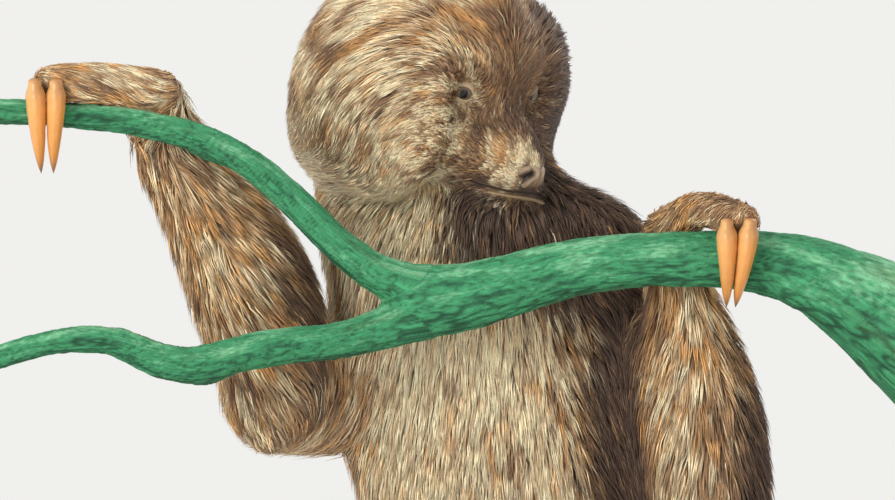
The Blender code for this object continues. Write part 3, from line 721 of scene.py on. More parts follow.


# kind of mark, its two ends, its reach and its strength; besides the coat's own markings, many dark and umber
# marks below are painted shade and a few pale ones are painted light, as noted at each
coatMarksAndShading = [
    ("pale", inBox("chest", (0.34, 0.05, 0.80)), inBox("belly", (0.34, 0.05, 0.30)), 0.055, 0.75),
    # painted shade under the head: the chest's top and the neck's left side, where the chin and head shade
    # them
    ("dark", inBox("chest", (0.60, 0.25, 0.99)), inBox("chest", (0.96, 0.35, 0.84)), 0.030, 1.55),
    ("dark", inBox("neck", (0.86, 0.10, 0.80)), inBox("neck", (0.98, 0.45, 0.60)), 0.020, 1.45),
    ("dark", inBox("chest", (0.58, 0.05, 0.90)), inBox("chest", (0.86, 0.10, 0.84)), 0.020, 1.25),
    ("ochre", inBox("chest", (0.72, 0.02, 0.55)), inBox("belly", (0.68, 0.02, 0.60)), 0.020, 0.45),
    # painted shade in the band between the trunk and the left arm
    ("dark", inBox("chest", (0.83, 0.12, 0.76)), inBox("belly", (0.76, 0.12, 0.95)), 0.018, 1.65),
    # painted shade on the left shoulder's hump, from the neck down
    ("dark", inBox("neck", (0.62, 0.02, 0.30)), inBox("upper_arm_left", (0.10, 0.30, 0.97)), 0.026, 1.25),
    ("dark", inBox("upper_arm_left", (0.15, 0.20, 0.97)),
        inBox("upper_arm_left", (0.35, 0.10, 0.85)), 0.018, 0.9),
    # painted shade on the right forearm's inner side
    ("dark", inBox("forearm_right", (0.72, 0.30, 0.55)),
        inBox("forearm_right", (0.98, 0.30, 0.20)), 0.017, 0.85),
    ("ochre", inBox("forearm_right", (0.30, 0.05, 0.75)),
        inBox("forearm_right", (0.62, 0.05, 0.20)), 0.013, 0.60),
    ("pale", inBox("forearm_right", (0.45, 0.05, 0.55)),
        inBox("forearm_right", (0.58, 0.05, 0.30)), 0.011, 0.60),
    # the left forearm's ochre and pale streak down its front is partly the coat's own colour, partly a
    # painted highlight
    ("ochre", inBox("forearm_left", (0.22, 0.00, 0.85)),
        inBox("forearm_left", (0.15, 0.00, 0.15)), 0.020, 1.20),
    ("pale", inBox("forearm_left", (0.30, 0.00, 0.75)),
        inBox("forearm_left", (0.30, 0.00, 0.05)), 0.020, 1.30),
    # painted shade along the left arm's outer edge
    ("dark", inBox("forearm_left", (0.95, 0.20, 0.80)),
        inBox("upper_arm_left", (0.98, 0.10, 0.10)), 0.024, 1.25),
    ("dark", inBox("hand_left", (0.10, 0.20, 0.70)), inBox("hand_left", (0.90, 0.30, 0.95)), 0.008, 0.45),
    # painted shade under the right hand, where it rests on the branch
    ("dark", inBox("hand_right", (0.55, 0.10, 0.20)), inBox("hand_right", (0.95, 0.30, 0.05)), 0.007, 0.60),
    ("pale", inBox("hand_right", (0.35, 0.30, 0.85)), inBox("hand_right", (0.90, 0.40, 0.80)), 0.007, 0.45),
    # painted shade over the head's left, far side: temple, cheek, forehead and brow down to the bridge
    ("dark", headSpot(0.020, 0.068, 0.034), headSpot(0.046, 0.064, -0.028), 0.032, 1.55),
    ("umber", headSpot(0.030, 0.040, 0.060), headSpot(0.058, 0.028, 0.002), 0.030, 1.25),
    ("umber", headSpot(0.040, 0.004, 0.064), headSpot(0.056, 0.000, 0.018), 0.024, 1.10),
    ("umber", headSpot(0.056, 0.034, -0.004), headSpot(0.054, 0.034, -0.026), 0.016, 1.10),
    ("umber", headSpot(0.040, -0.050, 0.022), headSpot(0.048, -0.036, 0.0245), 0.0045, 0.60),
    # partly the neck's own pale fur, partly painted light that lifts the head's shadow off the neck
    ("pale", inBox("neck", (0.05, 0.02, 0.70)), inBox("neck", (0.45, 0.02, 0.10)), 0.028, 1.5),
    ("ochre", inBox("neck", (0.20, 0.02, 0.30)), inBox("neck", (0.62, 0.02, 0.05)), 0.012, 0.9),
    ("pale", headSpot(0.080, -0.009, 0.000), headSpot(0.091, 0.0, -0.001), 0.0105, 2.8),
    ("pale", headSpot(0.078, -0.018, -0.010), headSpot(0.086, -0.011, -0.018), 0.0085, 1.6),
    ("pale", headSpot(0.078, 0.018, -0.012), headSpot(0.086, 0.011, -0.020), 0.0080, 1.4),
    ("ochre", headSpot(0.069, -0.018, 0.001), headSpot(0.074, -0.015, -0.006), 0.0080, 1.4),
    ("ochre", headSpot(0.069, 0.020, -0.001), headSpot(0.072, 0.017, -0.008), 0.0075, 1.0),
    ("umber", headSpot(0.065, -0.0235, -0.009), headSpot(0.067, -0.0220, -0.018), 0.0065, 1.10),
    ("umber", headSpot(0.065, 0.0235, -0.009), headSpot(0.067, 0.0220, -0.018), 0.0065, 1.10),
    # painted light that lifts the shade in the hollow under the right eye
    ("pale", headSpot(0.056, -0.034, -0.002), headSpot(0.062, -0.027, 0.000), 0.0070, 1.0),
    ("pale", headSpot(0.074, -0.020, -0.029), headSpot(0.082, -0.008, -0.031), 0.0052, 1.1),
    ("pale", headSpot(0.074, 0.020, -0.029), headSpot(0.082, 0.008, -0.031), 0.0052, 1.1),
    # painted shadow under the chin
    ("dark", headSpot(0.058, -0.014, -0.046), headSpot(0.062, 0.026, -0.050), 0.012, 1.0),
    ("pale", headSpot(0.048, -0.043, 0.008), headSpot(0.054, -0.033, 0.001), 0.0070, 0.7),
]
streaks = {
    "across": 400.0, "along": 0.12,   # how fast they change over the hairs, and along them as a share
    "arc": 0.055,   # metres of hair that a radian round the head's swirl counts for
    "wide": 0.42, "spread": 0.7,   # how fast the broad and the ochre ones change, as shares
}


def markAndShadingShares(points):
    shares = {kind: np.zeros(len(points)) for kind in ("pale", "ochre", "umber", "dark")}
    for kind, start, end, reach, strength in coatMarksAndShading:
        start, end = np.array(start), np.array(end)
        run = end - start
        t = np.clip((points - start) @ run / max(run @ run, 1e-12), 0, 1)
        away = np.linalg.norm(points - start - t[:, None] * run, axis=1)
        shares[kind] = np.maximum(shares[kind], strength * np.exp(-(away / reach) ** 2))
    return shares


def streakPlace(points, parts):
    # points squeezed along the way the coat runs, so that noise there draws streaks
    place = np.array(points)
    onHead = np.isin(parts, [fleshNodes.index(n) for n in ("head", "ear_left", "ear_right")])
    for index, name in enumerate(fleshNodes):
        mine = parts == index
        if coatPlan[name]["lie"] is None:
            continue
        start, end = (middle(other) for other in coatPlan[name]["lie"])
        trunk = name in ("neck", "chest", "belly")
        way = np.array((0, 0, -1.0)) if trunk else np.array((end - start).normalized())
        place[mine] -= (1 - streaks["along"]) * (place[mine] @ way)[:, None] * way
    inHead = toHead(points[onHead])
    side = np.where(inHead[:, 1] > 0, -1.0, 1.0)
    inHead[:, 1] *= side
    away = inHead - np.array(headLie["swirlCentre"])
    axis = unit(headLie["swirlAxis"])
    flat = away - (away @ axis)[:, None] * axis
    radius = np.linalg.norm(flat, axis=1)
    turn = np.arctan2(flat[:, 2], flat[:, 0])
    place[onHead] = np.stack([radius, turn * streaks["arc"] * streaks["along"], side * 0.5], axis=1)
    return place


def coatShares(points, parts):
    # how much of each tone the coat has at each point, the painted shade and painted light of the marks
    # included
    marksAndShading = markAndShadingShares(points)
    place = streakPlace(points, parts)
    wide = noiseAt(place, streaks["across"] * streaks["wide"], 3.1)
    thin = noiseAt(place, streaks["across"], 7.7)
    spread = noiseAt(place, streaks["across"] * streaks["spread"], 15.3)
    base = np.array([coatPlan[name]["pale"] for name in fleshNodes])[parts]
    light = base + 0.55 * marksAndShading["pale"] - 0.85 * marksAndShading["dark"] - 0.75 * marksAndShading["umber"]
    warm = 1.6 * spread + 0.9 * marksAndShading["ochre"] - 0.6 * marksAndShading["dark"] - 0.5 * marksAndShading["umber"]
    return {
        "umber": smoothStep(-1.5 * thin - 0.35 * wide - 0.45 * light + 0.45 * marksAndShading["umber"], -0.20, 0.62),
        "ochre": smoothStep(warm, 0.08, 0.80),
        "cream": smoothStep(0.5 * wide + 1.3 * thin + 1.0 * light, 0.20, 1.10),
        "dark": smoothStep(1.1 * marksAndShading["dark"] - 0.40 * thin - 0.3 * marksAndShading["pale"], 0.10, 1.0),
    }


def mixedTones(shares, strength=0.85):
    count = len(shares["dark"])
    colour = np.repeat(toneOf["brown"][None], count, axis=0)
    for tone, share in shares.items():
        share = (share * strength)[:, None]
        colour = colour * (1 - share) + toneOf[tone] * share
    return colour


def coatColours(points, parts):
    return mixedTones(coatShares(points, parts))


def strandColours(shares, lock):
    # each lock leans to one tone, picked by the shares around it, and some of its strands to another
    order = ["brown", *shares]
    weights = np.stack([np.full(len(shares["dark"]), 0.42)] + [0.06 + shares[tone] * 0.55 for tone in shares])
    for tone in ("brown", "ochre", "cream"):
        weights[order.index(tone)] *= 1 - 0.85 * shares["dark"]
    limits = np.cumsum(weights / weights.sum(axis=0), axis=0)
    lockPick = (dice.random(limits.shape[1])[None] > limits).sum(axis=0)
    ownPick = (dice.random(len(lock))[None] > limits[:, lock]).sum(axis=0)
    pick = np.where(dice.random(len(lock)) < 0.62, lockPick[lock], ownPick)
    chosen = np.array([toneOf[tone] for tone in order])[np.minimum(pick, len(order) - 1)]
    lean = dice.uniform(0.20, 0.62, (len(chosen), 1))
    return mixedTones(shares)[lock] * (1 - lean) + chosen * lean


def paint(mesh, name, colours):
    layer = mesh.attributes.new(name, "FLOAT_COLOR", "POINT")
    layer.data.foreach_set("color", np.c_[colours, np.ones(len(colours))].astype(np.float32).ravel())


def setPlaces(mesh, name, places):
    # where a material's textures find each point
    layer = mesh.attributes.new(name, "FLOAT_VECTOR", "POINT")
    layer.data.foreach_set("vector", places.astype(np.float32).ravel())

# tufts

tuftSides = 3
patchSize = 0.003   # of each tuft on the coat's map
tuftPlans = {
    "coatFaceRight": {
        "parts": ("head",), "face": (0.45, 1.1), "where": ("side", -1),
        "locks": 4600, "strands": 15000, "width": 0.00060, "clump": 0.20, "fan": 13,
    },
    "coatFaceLeft": {
        "parts": ("head",), "face": (0.45, 1.1), "where": ("side", 1),
        "locks": 3600, "strands": 11000, "width": 0.00066, "clump": 0.20, "fan": 13,
    },
    "coatHeadRight": {
        "parts": ("head", "ear_right"), "face": (-1, 0.45), "where": ("side", -1),
        "locks": 3400, "strands": 18500, "width": 0.00085, "clump": 0.34, "fan": 8,
    },
    "coatHeadLeft": {
        "parts": ("head", "ear_left"), "face": (-1, 0.45), "where": ("side", 1),
        "locks": 2800, "strands": 12500, "width": 0.00098, "clump": 0.34, "fan": 8,
    },
    "coatChestFront": {
        "parts": ("neck", "chest"), "face": (-1, 2), "where": ("front", 1),
        "locks": 3000, "strands": 18500, "width": 0.00100, "clump": 0.38, "fan": 9,
    },
    "coatChestBack": {
        "parts": ("neck", "chest"), "face": (-1, 2), "where": ("front", -1),
        "locks": 1600, "strands": 10000, "width": 0.00140, "clump": 0.40, "fan": 9,
    },
    "coatBellyFront": {
        "parts": ("belly",), "face": (-1, 2), "where": ("front", 1),
        "locks": 2000, "strands": 12700, "width": 0.00115, "clump": 0.38, "fan": 9,
    },
    "coatBellyBack": {
        "parts": ("belly", "tail"), "face": (-1, 2), "where": ("front", -1),
        "locks": 1300, "strands": 8300, "width": 0.00150, "clump": 0.40, "fan": 9,
    },
    "coatArmLeft": {
        "parts": ("upper_arm_left", "forearm_left"), "face": (-1, 2), "where": None,
        "locks": 2000, "strands": 12500, "width": 0.00100, "clump": 0.38, "fan": 9,
    },
    "coatArmRight": {
        "parts": ("upper_arm_right", "forearm_right"), "face": (-1, 2), "where": None,
        "locks": 2000, "strands": 12000, "width": 0.00100, "clump": 0.38, "fan": 9,
    },
    "coatLegs": {
        "parts": ("thigh_left", "thigh_right", "shank_left", "shank_right"), "face": (-1, 2), "where": None,
        "locks": 1600, "strands": 9500, "width": 0.00140, "clump": 0.40, "fan": 9,
    },
    "coatHandsAndFeet": {
        "parts": ("hand_left", "hand_right", "foot_left", "foot_right"), "face": (-1, 2), "where": None,
        "locks": 2600, "strands": 9500, "width": 0.00075, "clump": 0.30, "fan": 9,
    },
}
tuftRings = 2
tuftShape = {
    "length": (0.72, 1.12), "reach": (0.72, 1.0),
    "rise": 1.0, "sink": 0.10,   # how high its tip comes in the coat, and how deep its root starts
    "spread": (0.55, 1.10),   # heights of single strands, as shares of their lock's
    "frizz": 0.020, "bend": 0.030,   # shares of its length
    # darker roots and paler tips: painted shade at the root, a painted highlight at the tip
    "root": 0.80, "mid": 1.00, "tip": 1.12,   # brightness along it
    "taper": (1.0, 0.80),
}
lockSteps = 6


def regionFaces(plan):
    mine = np.isin(ground.facePart, [fleshNodes.index(name) for name in plan["parts"]])
    face = ground.face[ground.faces].mean(axis=1)
    mine &= (face > plan["face"][0]) & (face <= plan["face"][1]) & ~ground.faceBare
    if plan["where"]:
        kind, sign = plan["where"]
        if kind == "side":
            mine &= toHead(ground.faceCentre)[:, 1] * sign > 0
        else:
            mine &= (ground.faceNormal[:, 1] < 0.12) == (sign > 0)
    return np.flatnonzero(mine)


def scatter(rows, count):
    # faces and corner weights of random places, evenly over these faces
    share = ground.faceArea[rows]
    picked = dice.choice(rows, count, p=share / share.sum())
    a, b = np.sqrt(dice.random(count)), dice.random(count)
    return picked, np.stack([1 - a, a * (1 - b), a * b], axis=1)


def traceLocks(rows, count, plan):
    # each lock is a line that follows the lie of the coat over the skin, rising to the coat's outer face
    picked, weights = scatter(rows, count)
    roots = ground.at(ground.coords, picked, weights)
    lengths = ground.at(ground.length, picked, weights) * dice.uniform(*tuftShape["length"], count)
    turns = np.radians(dice.normal(0, plan["fan"], count))
    paths = np.empty((count, lockSteps + 1, 3))
    ups = np.empty_like(paths)
    heights = np.empty((count, lockSteps + 1, 1))
    for i in range(count):
        face = picked[i]
        place, up = Vector(roots[i]), Vector(ground.faceNormal[face])
        way = Matrix.Rotation(turns[i], 3, up) @ Vector(ground.faceLie[face])
        depth = ground.faceDepth[face]
        for k in range(lockSteps + 1):
            t = k / lockSteps
            heights[i, k] = depth * (tuftShape["rise"] * (1 - (1 - t) ** 1.8) - tuftShape["sink"] * (1 - t))
            paths[i, k] = place
            ups[i, k] = up
            if k == lockSteps:
                break
            ahead = place + way * (lengths[i] / lockSteps)
            spot, _, face, gap = ground.tree.find_nearest(ahead)
            if gap < 0.008:
                place, up = spot, Vector(ground.faceNormal[face])
                depth = 0.7 * depth + 0.3 * ground.faceDepth[face]
                way = way * 0.55 + Vector(ground.faceLie[face]) * 0.45
            else:
                place = ahead
            way = (way - up * way.dot(up)).normalized()
    return roots, paths, ups, heights, lengths, picked


def tuftPattern(rings):
    # triangles of one tuft, and each corner's place on its patch: across, along
    faces, patch = [], []
    for k in range(rings):
        for n in range(tuftSides):
            m = (n + 1) % tuftSides
            left, right = n / tuftSides, (n + 1) / tuftSides
            low, high = k / rings, (k + 1) / rings
            a, b = k * tuftSides + n, k * tuftSides + m
            if k == rings - 1:
                faces.append((a, b, rings * tuftSides))
                patch.append(((left, low), (right, low), ((left + right) / 2, 1)))
                continue
            c, d = b + tuftSides, a + tuftSides
            faces += [(a, b, c), (a, c, d)]
            patch += [((left, low), (right, low), (right, high)), ((left, low), (right, high), (left, high))]
    faces.append(tuple(reversed(range(tuftSides))))
    patch.append(((0, 0), (0.5, 0), (1, 0)))
    return np.array(faces), np.array(patch, float)


def unwrapOf(rows):
    # a map of these faces of the skin, filling the whole square
    used = np.unique(ground.faces[rows])
    renumber = np.full(len(ground.coords), -1)
    renumber[used] = np.arange(len(used))
    patchMesh = meshFromFaces("unwrap", ground.coords[used], renumber[ground.faces[rows]])
    helper = newPiece("unwrap", patchMesh)
    patchMesh.uv_layers.new(name="OFBake")
    bpy.context.view_layer.objects.active = helper
    helper.select_set(True)
    bpy.ops.object.mode_set(mode="EDIT")
    bpy.ops.mesh.select_all(action="SELECT")
    bpy.ops.uv.smart_project(angle_limit=math.radians(75), island_margin=0.004)
    bpy.ops.object.mode_set(mode="OBJECT")
    flat = np.empty(len(patchMesh.loops) * 2, np.float32)
    patchMesh.uv_layers["OFBake"].data.foreach_get("uv", flat)
    bpy.data.objects.remove(helper)
    bpy.data.meshes.remove(patchMesh)
    return flat.reshape(-1, 3, 2).astype(float)


def setMap(mesh, corners):
    layer = mesh.uv_layers.get("OFBake") or mesh.uv_layers.new(name="OFBake")
    layer.data.foreach_set("uv", corners.astype(np.float32).ravel())


def growTufts(name, plan):
    rows = regionFaces(plan)
    lockRoots, paths, ups, heights, lengths, lockFaces = traceLocks(rows, plan["locks"], plan)
    shares = coatShares(lockRoots, ground.facePart[lockFaces])
    count, rings = plan["strands"], tuftRings
    picked, weights = scatter(rows, count)
    roots = ground.at(ground.coords, picked, weights)
    tree = KDTree(len(lockRoots))
    for i, root in enumerate(lockRoots):
        tree.insert(root, i)
    tree.balance()
    lock = np.array([tree.find(root)[1] for root in roots])
    offset = roots - lockRoots[lock]
    long = lengths[lock][:, None]
    reach = dice.uniform(*tuftShape["reach"], count)
    tall = dice.uniform(*tuftShape["spread"], (count, 1))
    frizz = dice.normal(0, tuftShape["frizz"], (count, 3)) * long
    bend = dice.normal(0, tuftShape["bend"], (count, 1)) * long
    face = ground.at(ground.face, picked, weights)
    width = plan["width"] * dice.uniform(0.65, 1.25, count) * (1 - 0.30 * face)
    lines = np.empty((count, rings + 1, 3))
    lift = np.empty_like(lines)
    for k in range(rings + 1):
        t = k / rings
        step = reach * t * lockSteps
        low = np.minimum(step.astype(int), lockSteps - 1)
        part = (step - low)[:, None]
        onLock = paths[lock, low] * (1 - part) + paths[lock, low + 1] * part
        high = heights[lock, low] * (1 - part) + heights[lock, low + 1] * part
        lift[:, k] = unit(ups[lock, low] * (1 - part) + ups[lock, low + 1] * part)
        apart = offset * (1 - plan["clump"] * t ** 1.3)
        lines[:, k] = onLock + lift[:, k] * high * tall + apart + frizz * t ** 1.5
    lines[:, 0] = roots - lift[:, 0] * 0.0006
    along = np.gradient(lines, axis=1)
    side = unit(np.cross(lift, along))
    lines[:, 1:rings] += side[:, 1:rings] * bend[:, None]
    crest = unit(np.cross(along, side))
    half = width[:, None, None] * np.array(tuftShape["taper"])[None, :, None] / 2
    ringMiddle, ringSide, ringCrest = lines[:, :rings], side[:, :rings], crest[:, :rings]
    corners = np.stack([
        ringMiddle - ringSide * half,
        ringMiddle + ringSide * half,
        ringMiddle + ringCrest * half * 0.8,
    ], axis=2)
    coords = np.concatenate([corners.reshape(count, -1, 3), lines[:, rings:]], axis=1)
    template, patch = tuftPattern(rings)
    perTuft = rings * tuftSides + 1
    faces = (template[None] + (np.arange(count) * perTuft)[:, None, None]).reshape(-1, 3)
    mesh = meshFromFaces(name, coords.reshape(-1, 3), faces)
    own = strandColours(shares, lock) * (1 + dice.normal(0, 0.07, (count, 1)))
    shade = np.append(np.repeat([tuftShape["root"], tuftShape["mid"]], tuftSides), tuftShape["tip"])
    colours = np.clip(own[:, None, :] * shade[None, :, None], 0, 1)
    paint(mesh, "coatColour", colours.reshape(-1, 3))
    regionMap = unwrapOf(rows)
    rowOf = np.full(len(ground.faces), -1)
    rowOf[rows] = np.arange(len(rows))
    rootMap = np.einsum("ij,ijk->ik", weights, regionMap[rowOf[picked]])
    cornersMap = rootMap[:, None, None, :] + (patch[None] - 0.5) * patchSize
    setMap(mesh, cornersMap.reshape(-1, 2))
    piece = newPiece(name, mesh)
    ownPiece(piece, "coat")
    piece.data.materials.append(coatMaterial)
    print(name, len(faces), "triangles")
    return piece


def newMaterial(name):
    made = bpy.data.materials.new(name)
    made.use_nodes = True
    return made, made.node_tree, made.node_tree.nodes["Principled BSDF"]


def addNode(tree, kind, **values):
    node = tree.nodes.new(kind)
    for name, value in values.items():
        if hasattr(node, name):
            setattr(node, name, value)
        else:
            node.inputs[name].default_value = value
    return node


def addRange(tree, low, high, fromLow=0.0, fromHigh=1.0):
    # carries values from one range to another
    node = tree.nodes.new("ShaderNodeMapRange")
    for socket, value in (("From Min", fromLow), ("From Max", fromHigh), ("To Min", low), ("To Max", high)):
        node.inputs[socket].default_value = value
    return node

def wire(source, output, target, socket):
    target.id_data.links.new(source.outputs[output], target.inputs[socket])

def makeCoatMaterial():
    made, tree, shader = newMaterial("slothCoat")
    tone = addNode(tree, "ShaderNodeAttribute", attribute_name="coatColour")
    where = addNode(tree, "ShaderNodeTexCoord")
    grain = addNode(tree, "ShaderNodeTexNoise", Scale=900.0, Detail=2.0)
    vary = addRange(tree, 0.82, 1.18)
    mix = addNode(tree, "ShaderNodeVectorMath", operation="SCALE")
    wire(where, "Object", grain, "Vector")
    wire(grain, "Fac", vary, "Value")
    wire(tone, "Color", mix, 0)
    wire(vary, "Result", mix, "Scale")
    wire(mix, "Vector", shader, "Base Color")
    shader.inputs["Roughness"].default_value = 0.62
    shader.inputs["Specular IOR Level"].default_value = 0.30
    shader.inputs["Sheen Weight"].default_value = 0.06
    shader.inputs["Sheen Roughness"].default_value = 0.5
    return made


coatMaterial = makeCoatMaterial()
for name, plan in tuftPlans.items():
    growTufts(name, plan)

# the skin takes the coat's colours darkened to 0.72, painted shade deep in the coat under the tufts
paint(skin.data, "coatColour", coatColours(ground.coords, ground.parts) * 0.72)
setMap(skin.data, unwrapOf(np.arange(len(ground.faces))))
skin.data.materials.append(coatMaterial)
ownPiece(skin, "coat", *fleshNodes)


# lids, as part of the skin

# the dark tone along the lids' inner edge is painted shade where they meet the eye; crease is painted shade
# in the lids' creases
lidTones = {"rim": (206, 184, 160), "wet": (58, 40, 35), "lid": (128, 104, 84), "crease": (92, 70, 56)}
lidShape = {
    "rings": 24, "turns": 80,
    "roll": 0.0006,   # width of the rolled rim
    "creases": ((0.0014, 0.00026, 0.00034), (0.0024, 0.00030, 0.00028), (0.0034, 0.00034, 0.00018)),
    "blend": 0.0005,
    "coat": 0.70,   # how much of the coat's own colour the lids take
}


def lidMesh(eye):
    # from the opening on the eyeball out to an oval on the face, over whichever of the two stands higher
    turns, rings = lidShape["turns"], lidShape["rings"]
    around = np.linspace(0, 2 * np.pi, turns, endpoint=False)
    rim = eye.onFace(eye.middle + eye.way(around, eye.opening(around)) * eye.radius)
    ring = np.stack([
        eyeShape["lidRadii"][0] * np.cos(around) - eyeShape["lidCentre"][0],
        eyeShape["lidRadii"][1] * np.sin(around) + eyeShape["lidCentre"][1],
    ], axis=1)
    share = (np.linspace(0, 1, rings) ** 1.5)[:, None, None]
    plan = rim[None, :, :2] * (1 - share) + ring[None] * share
    grid = np.broadcast_to(around, plan.shape[:2])
    past = np.linalg.norm(plan - rim[None, :, :2], axis=-1)
    thick = eyeShape["lidThick"] * np.sqrt(np.clip(past / lidShape["roll"], 0.03, 1))
    reach = np.hypot(plan[..., 0], plan[..., 1])
    overBall = np.sqrt(np.maximum((eye.radius + thick) ** 2 - reach ** 2, 0))
    overSkin = np.empty_like(reach)
    for i in range(rings):
        for j in range(turns):
            above = eye.offFace(np.array([*plan[i, j], 0.012]))
            hit = skinTree.ray_cast(Vector(above), -Vector(eye.seat), 0.03)
            overSkin[i, j] = 0.012 - hit[3] if hit[0] is not None else 0.0
    gap = np.abs(overBall - overSkin) / lidShape["blend"]
    blend = lidShape["blend"] * 0.4 * np.exp(-gap)
    high = np.maximum(overBall, overSkin) + blend * smoothStep(past, 0, 0.0012)
    high += 0.0002 * smoothStep(past, 0.001, 0.003)
    high[-1] -= 0.0010
    for at, wide, deep in lidShape["creases"]:
        lower = np.where(np.sin(grid) < 0, 0.75, 1.0) * (0.55 + 0.45 * np.abs(np.sin(grid)))
        high -= deep * lower * np.exp(-((past - at) / wide) ** 2)
    high += 0.00007 * np.sin(grid * 23 + past * 900) * smoothStep(past, 0.0008, 0.002)
    coords = eye.offFace(np.concatenate([plan, high[..., None]], axis=-1))
    tone = linearTones(lidTones)
    creases = np.maximum.reduce([np.exp(-((past - at) / wide) ** 2) for at, wide, _ in lidShape["creases"]])
    # painted shade along the inner edge and in the creases
    colour = overlaid(tone["lid"], tone, (
        ("rim", np.exp(-((past - 0.0009) / 0.0005) ** 2) * smoothStep(np.sin(grid), 0.0, 0.6) * 0.8),
        ("crease", creases * 0.75),
        ("wet", smoothStep(-past, -0.0006, -0.0002)),
    ))
    coords = coords.reshape(-1, 3)
    around = coatColours(coords, np.full(len(coords), fleshNodes.index("head"))).mean(axis=0)
    colour = colour.reshape(-1, 3) * (1 - lidShape["coat"]) + around * lidShape["coat"]
    return coords, ringFaces(rings, turns, capped=False), colour


# lips, as part of the skin

lipShape = {
    "stations": 110, "past": 8,   # degrees that the strip runs on past the corners
    "across": (-0.0048, -0.0040, -0.0033, -0.0027, -0.0021, -0.0015, -0.0010, -0.0006, -0.0003, 0.0, 0.0003,
               0.0006, 0.0010, 0.0015, 0.0021, 0.0028, 0.0036),
    "lower": (-0.0019, 0.0011, 0.0012),   # each lip's middle, width and height
    "upper": (0.0015, 0.0009, 0.0006),
    "crease": (0.00080, 0.0028),   # half width and depth of the shut mouth
    # crease is painted shade in the shut mouth's slit
    "tones": {"lip": (112, 88, 70), "pale": (166, 140, 108), "crease": (24, 16, 14), "shade": (46, 32, 28)},
}


def lipMesh():
    turn = mouthLine["turn"] + lipShape["past"]
    stations = np.linspace(-turn, turn, lipShape["stations"])
    across = np.array(lipShape["across"])
    stands = smoothStep(turn - np.abs(stations), 0, lipShape["past"] * 1.6)[:, None]
    lift, around = mouthHeight(stations), np.radians(stations)
    ways = unit(np.stack([np.cos(around), mouthLine["wide"] * np.sin(around), 0 * around], axis=1))
    starts = np.zeros((len(stations), len(across), 3))
    starts[..., 0] = mouthLine["middle"]
    starts[..., 2] = lift[:, None] + across
    far = np.empty(starts.shape[:2])
    for i, way in enumerate(ways @ headAxes):
        for j in range(len(across)):
            hit = skinTree.ray_cast(Vector(fromHead(starts[i, j])), Vector(way), 0.04)
            far[i, j] = hit[3] if hit[0] is not None else 0.0
    links = np.stack([np.arange(len(stations) - 1), np.arange(1, len(stations))], axis=1)
    far = relaxed(far, links, 3)
    rise = np.zeros_like(across)
    for at, wide, high in (lipShape["lower"], lipShape["upper"]):
        rise += high * np.exp(-((across - at) / wide) ** 2)
    half, deep = lipShape["crease"]
    crease = np.exp(-(np.abs(across) / half) ** 2.5)
    far = far + 0.0002 + stands * (rise - deep * crease)[None]
    far[:, [0, -1]] -= 0.0014
    far[[0, -1]] -= 0.0014
    coords = fromHead((starts + ways[:, None] * far[..., None]).reshape(-1, 3))
    tone = linearTones(lipShape["tones"])
    colour = overlaid(tone["lip"], tone, (
        ("pale", np.exp(-((across + 0.0022) / 0.0014) ** 2)[None] * stands),
        ("shade", np.exp(-((across - 0.0014) / 0.0016) ** 4)[None] * stands * 0.95),
        # painted shade in the slit between the lips
        ("crease", np.exp(-(np.abs(across - 0.0004) / 0.0012) ** 3)[None] * stands),
    ))
    index = np.arange(far.size).reshape(far.shape)
    quads = np.stack([index[:-1, :-1], index[1:, :-1], index[1:, 1:], index[:-1, 1:]], axis=-1).reshape(-1, 4)
    return coords, np.concatenate([quads[:, [0, 1, 2]], quads[:, [0, 2, 3]]]), colour.reshape(-1, 3)


def joinToSkin(mesh, colours, centre):
    # one more patch of skin, its faces turned away from this centre
    if np.sum((coordsOf(mesh) - centre) * normalsOf(mesh), axis=1).mean() < 0:
        mesh.flip_normals()
    paint(mesh, "coatColour", colours)
    mesh.uv_layers.new(name="OFBake")
    patch = newPiece("patch", mesh)
    mesh.materials.append(coatMaterial)
    bpy.ops.object.select_all(action="DESELECT")
    patch.select_set(True)
    skin.select_set(True)
    bpy.context.view_layer.objects.active = skin
    bpy.ops.object.join()


def addLidsAndLips():
    for eye in eyes:
        coords, faces, colours = lidMesh(eye)
        joinToSkin(meshFromFaces("lid", coords, faces), colours, eye.middle)
    coords, faces, colours = lipMesh()
    joinToSkin(meshFromFaces("lips", coords, faces), colours, fromHead((0.050, 0, -0.026)))


# eyeballs

eyeballShape = {
    "rings": 40, "turns": 64,
    "pupil": 21, "iris": 50,   # degrees from the look to their edges
    "cornea": 0.00045,   # how far it bulges
    "tones": {"pupil": (9, 8, 8), "iris": (98, 80, 62), "irisEdge": (34, 26, 22), "white": (112, 92, 80)},
}


def makeEyeMaterial():
    made, tree, shader = newMaterial("wetEye")
    tone = addNode(tree, "ShaderNodeAttribute", attribute_name="eyeColour")
    where = addNode(tree, "ShaderNodeTexCoord")
    veins = addNode(tree, "ShaderNodeTexNoise", Scale=700.0, Detail=3.0)
    bump = addNode(tree, "ShaderNodeBump", Strength=0.06, Distance=0.0002)
    film = addRange(tree, 0.05, 0.14)
    wire(where, "Object", veins, "Vector")
    wire(veins, "Fac", bump, "Height")
    wire(veins, "Fac", film, "Value")
    wire(film, "Result", shader, "Roughness")
    wire(bump, "Normal", shader, "Normal")
    wire(tone, "Color", shader, "Base Color")
    shader.inputs["Specular IOR Level"].default_value = 0.25
    shader.inputs["Coat Weight"].default_value = 0.3
    shader.inputs["Coat Roughness"].default_value = 0.05
    return made


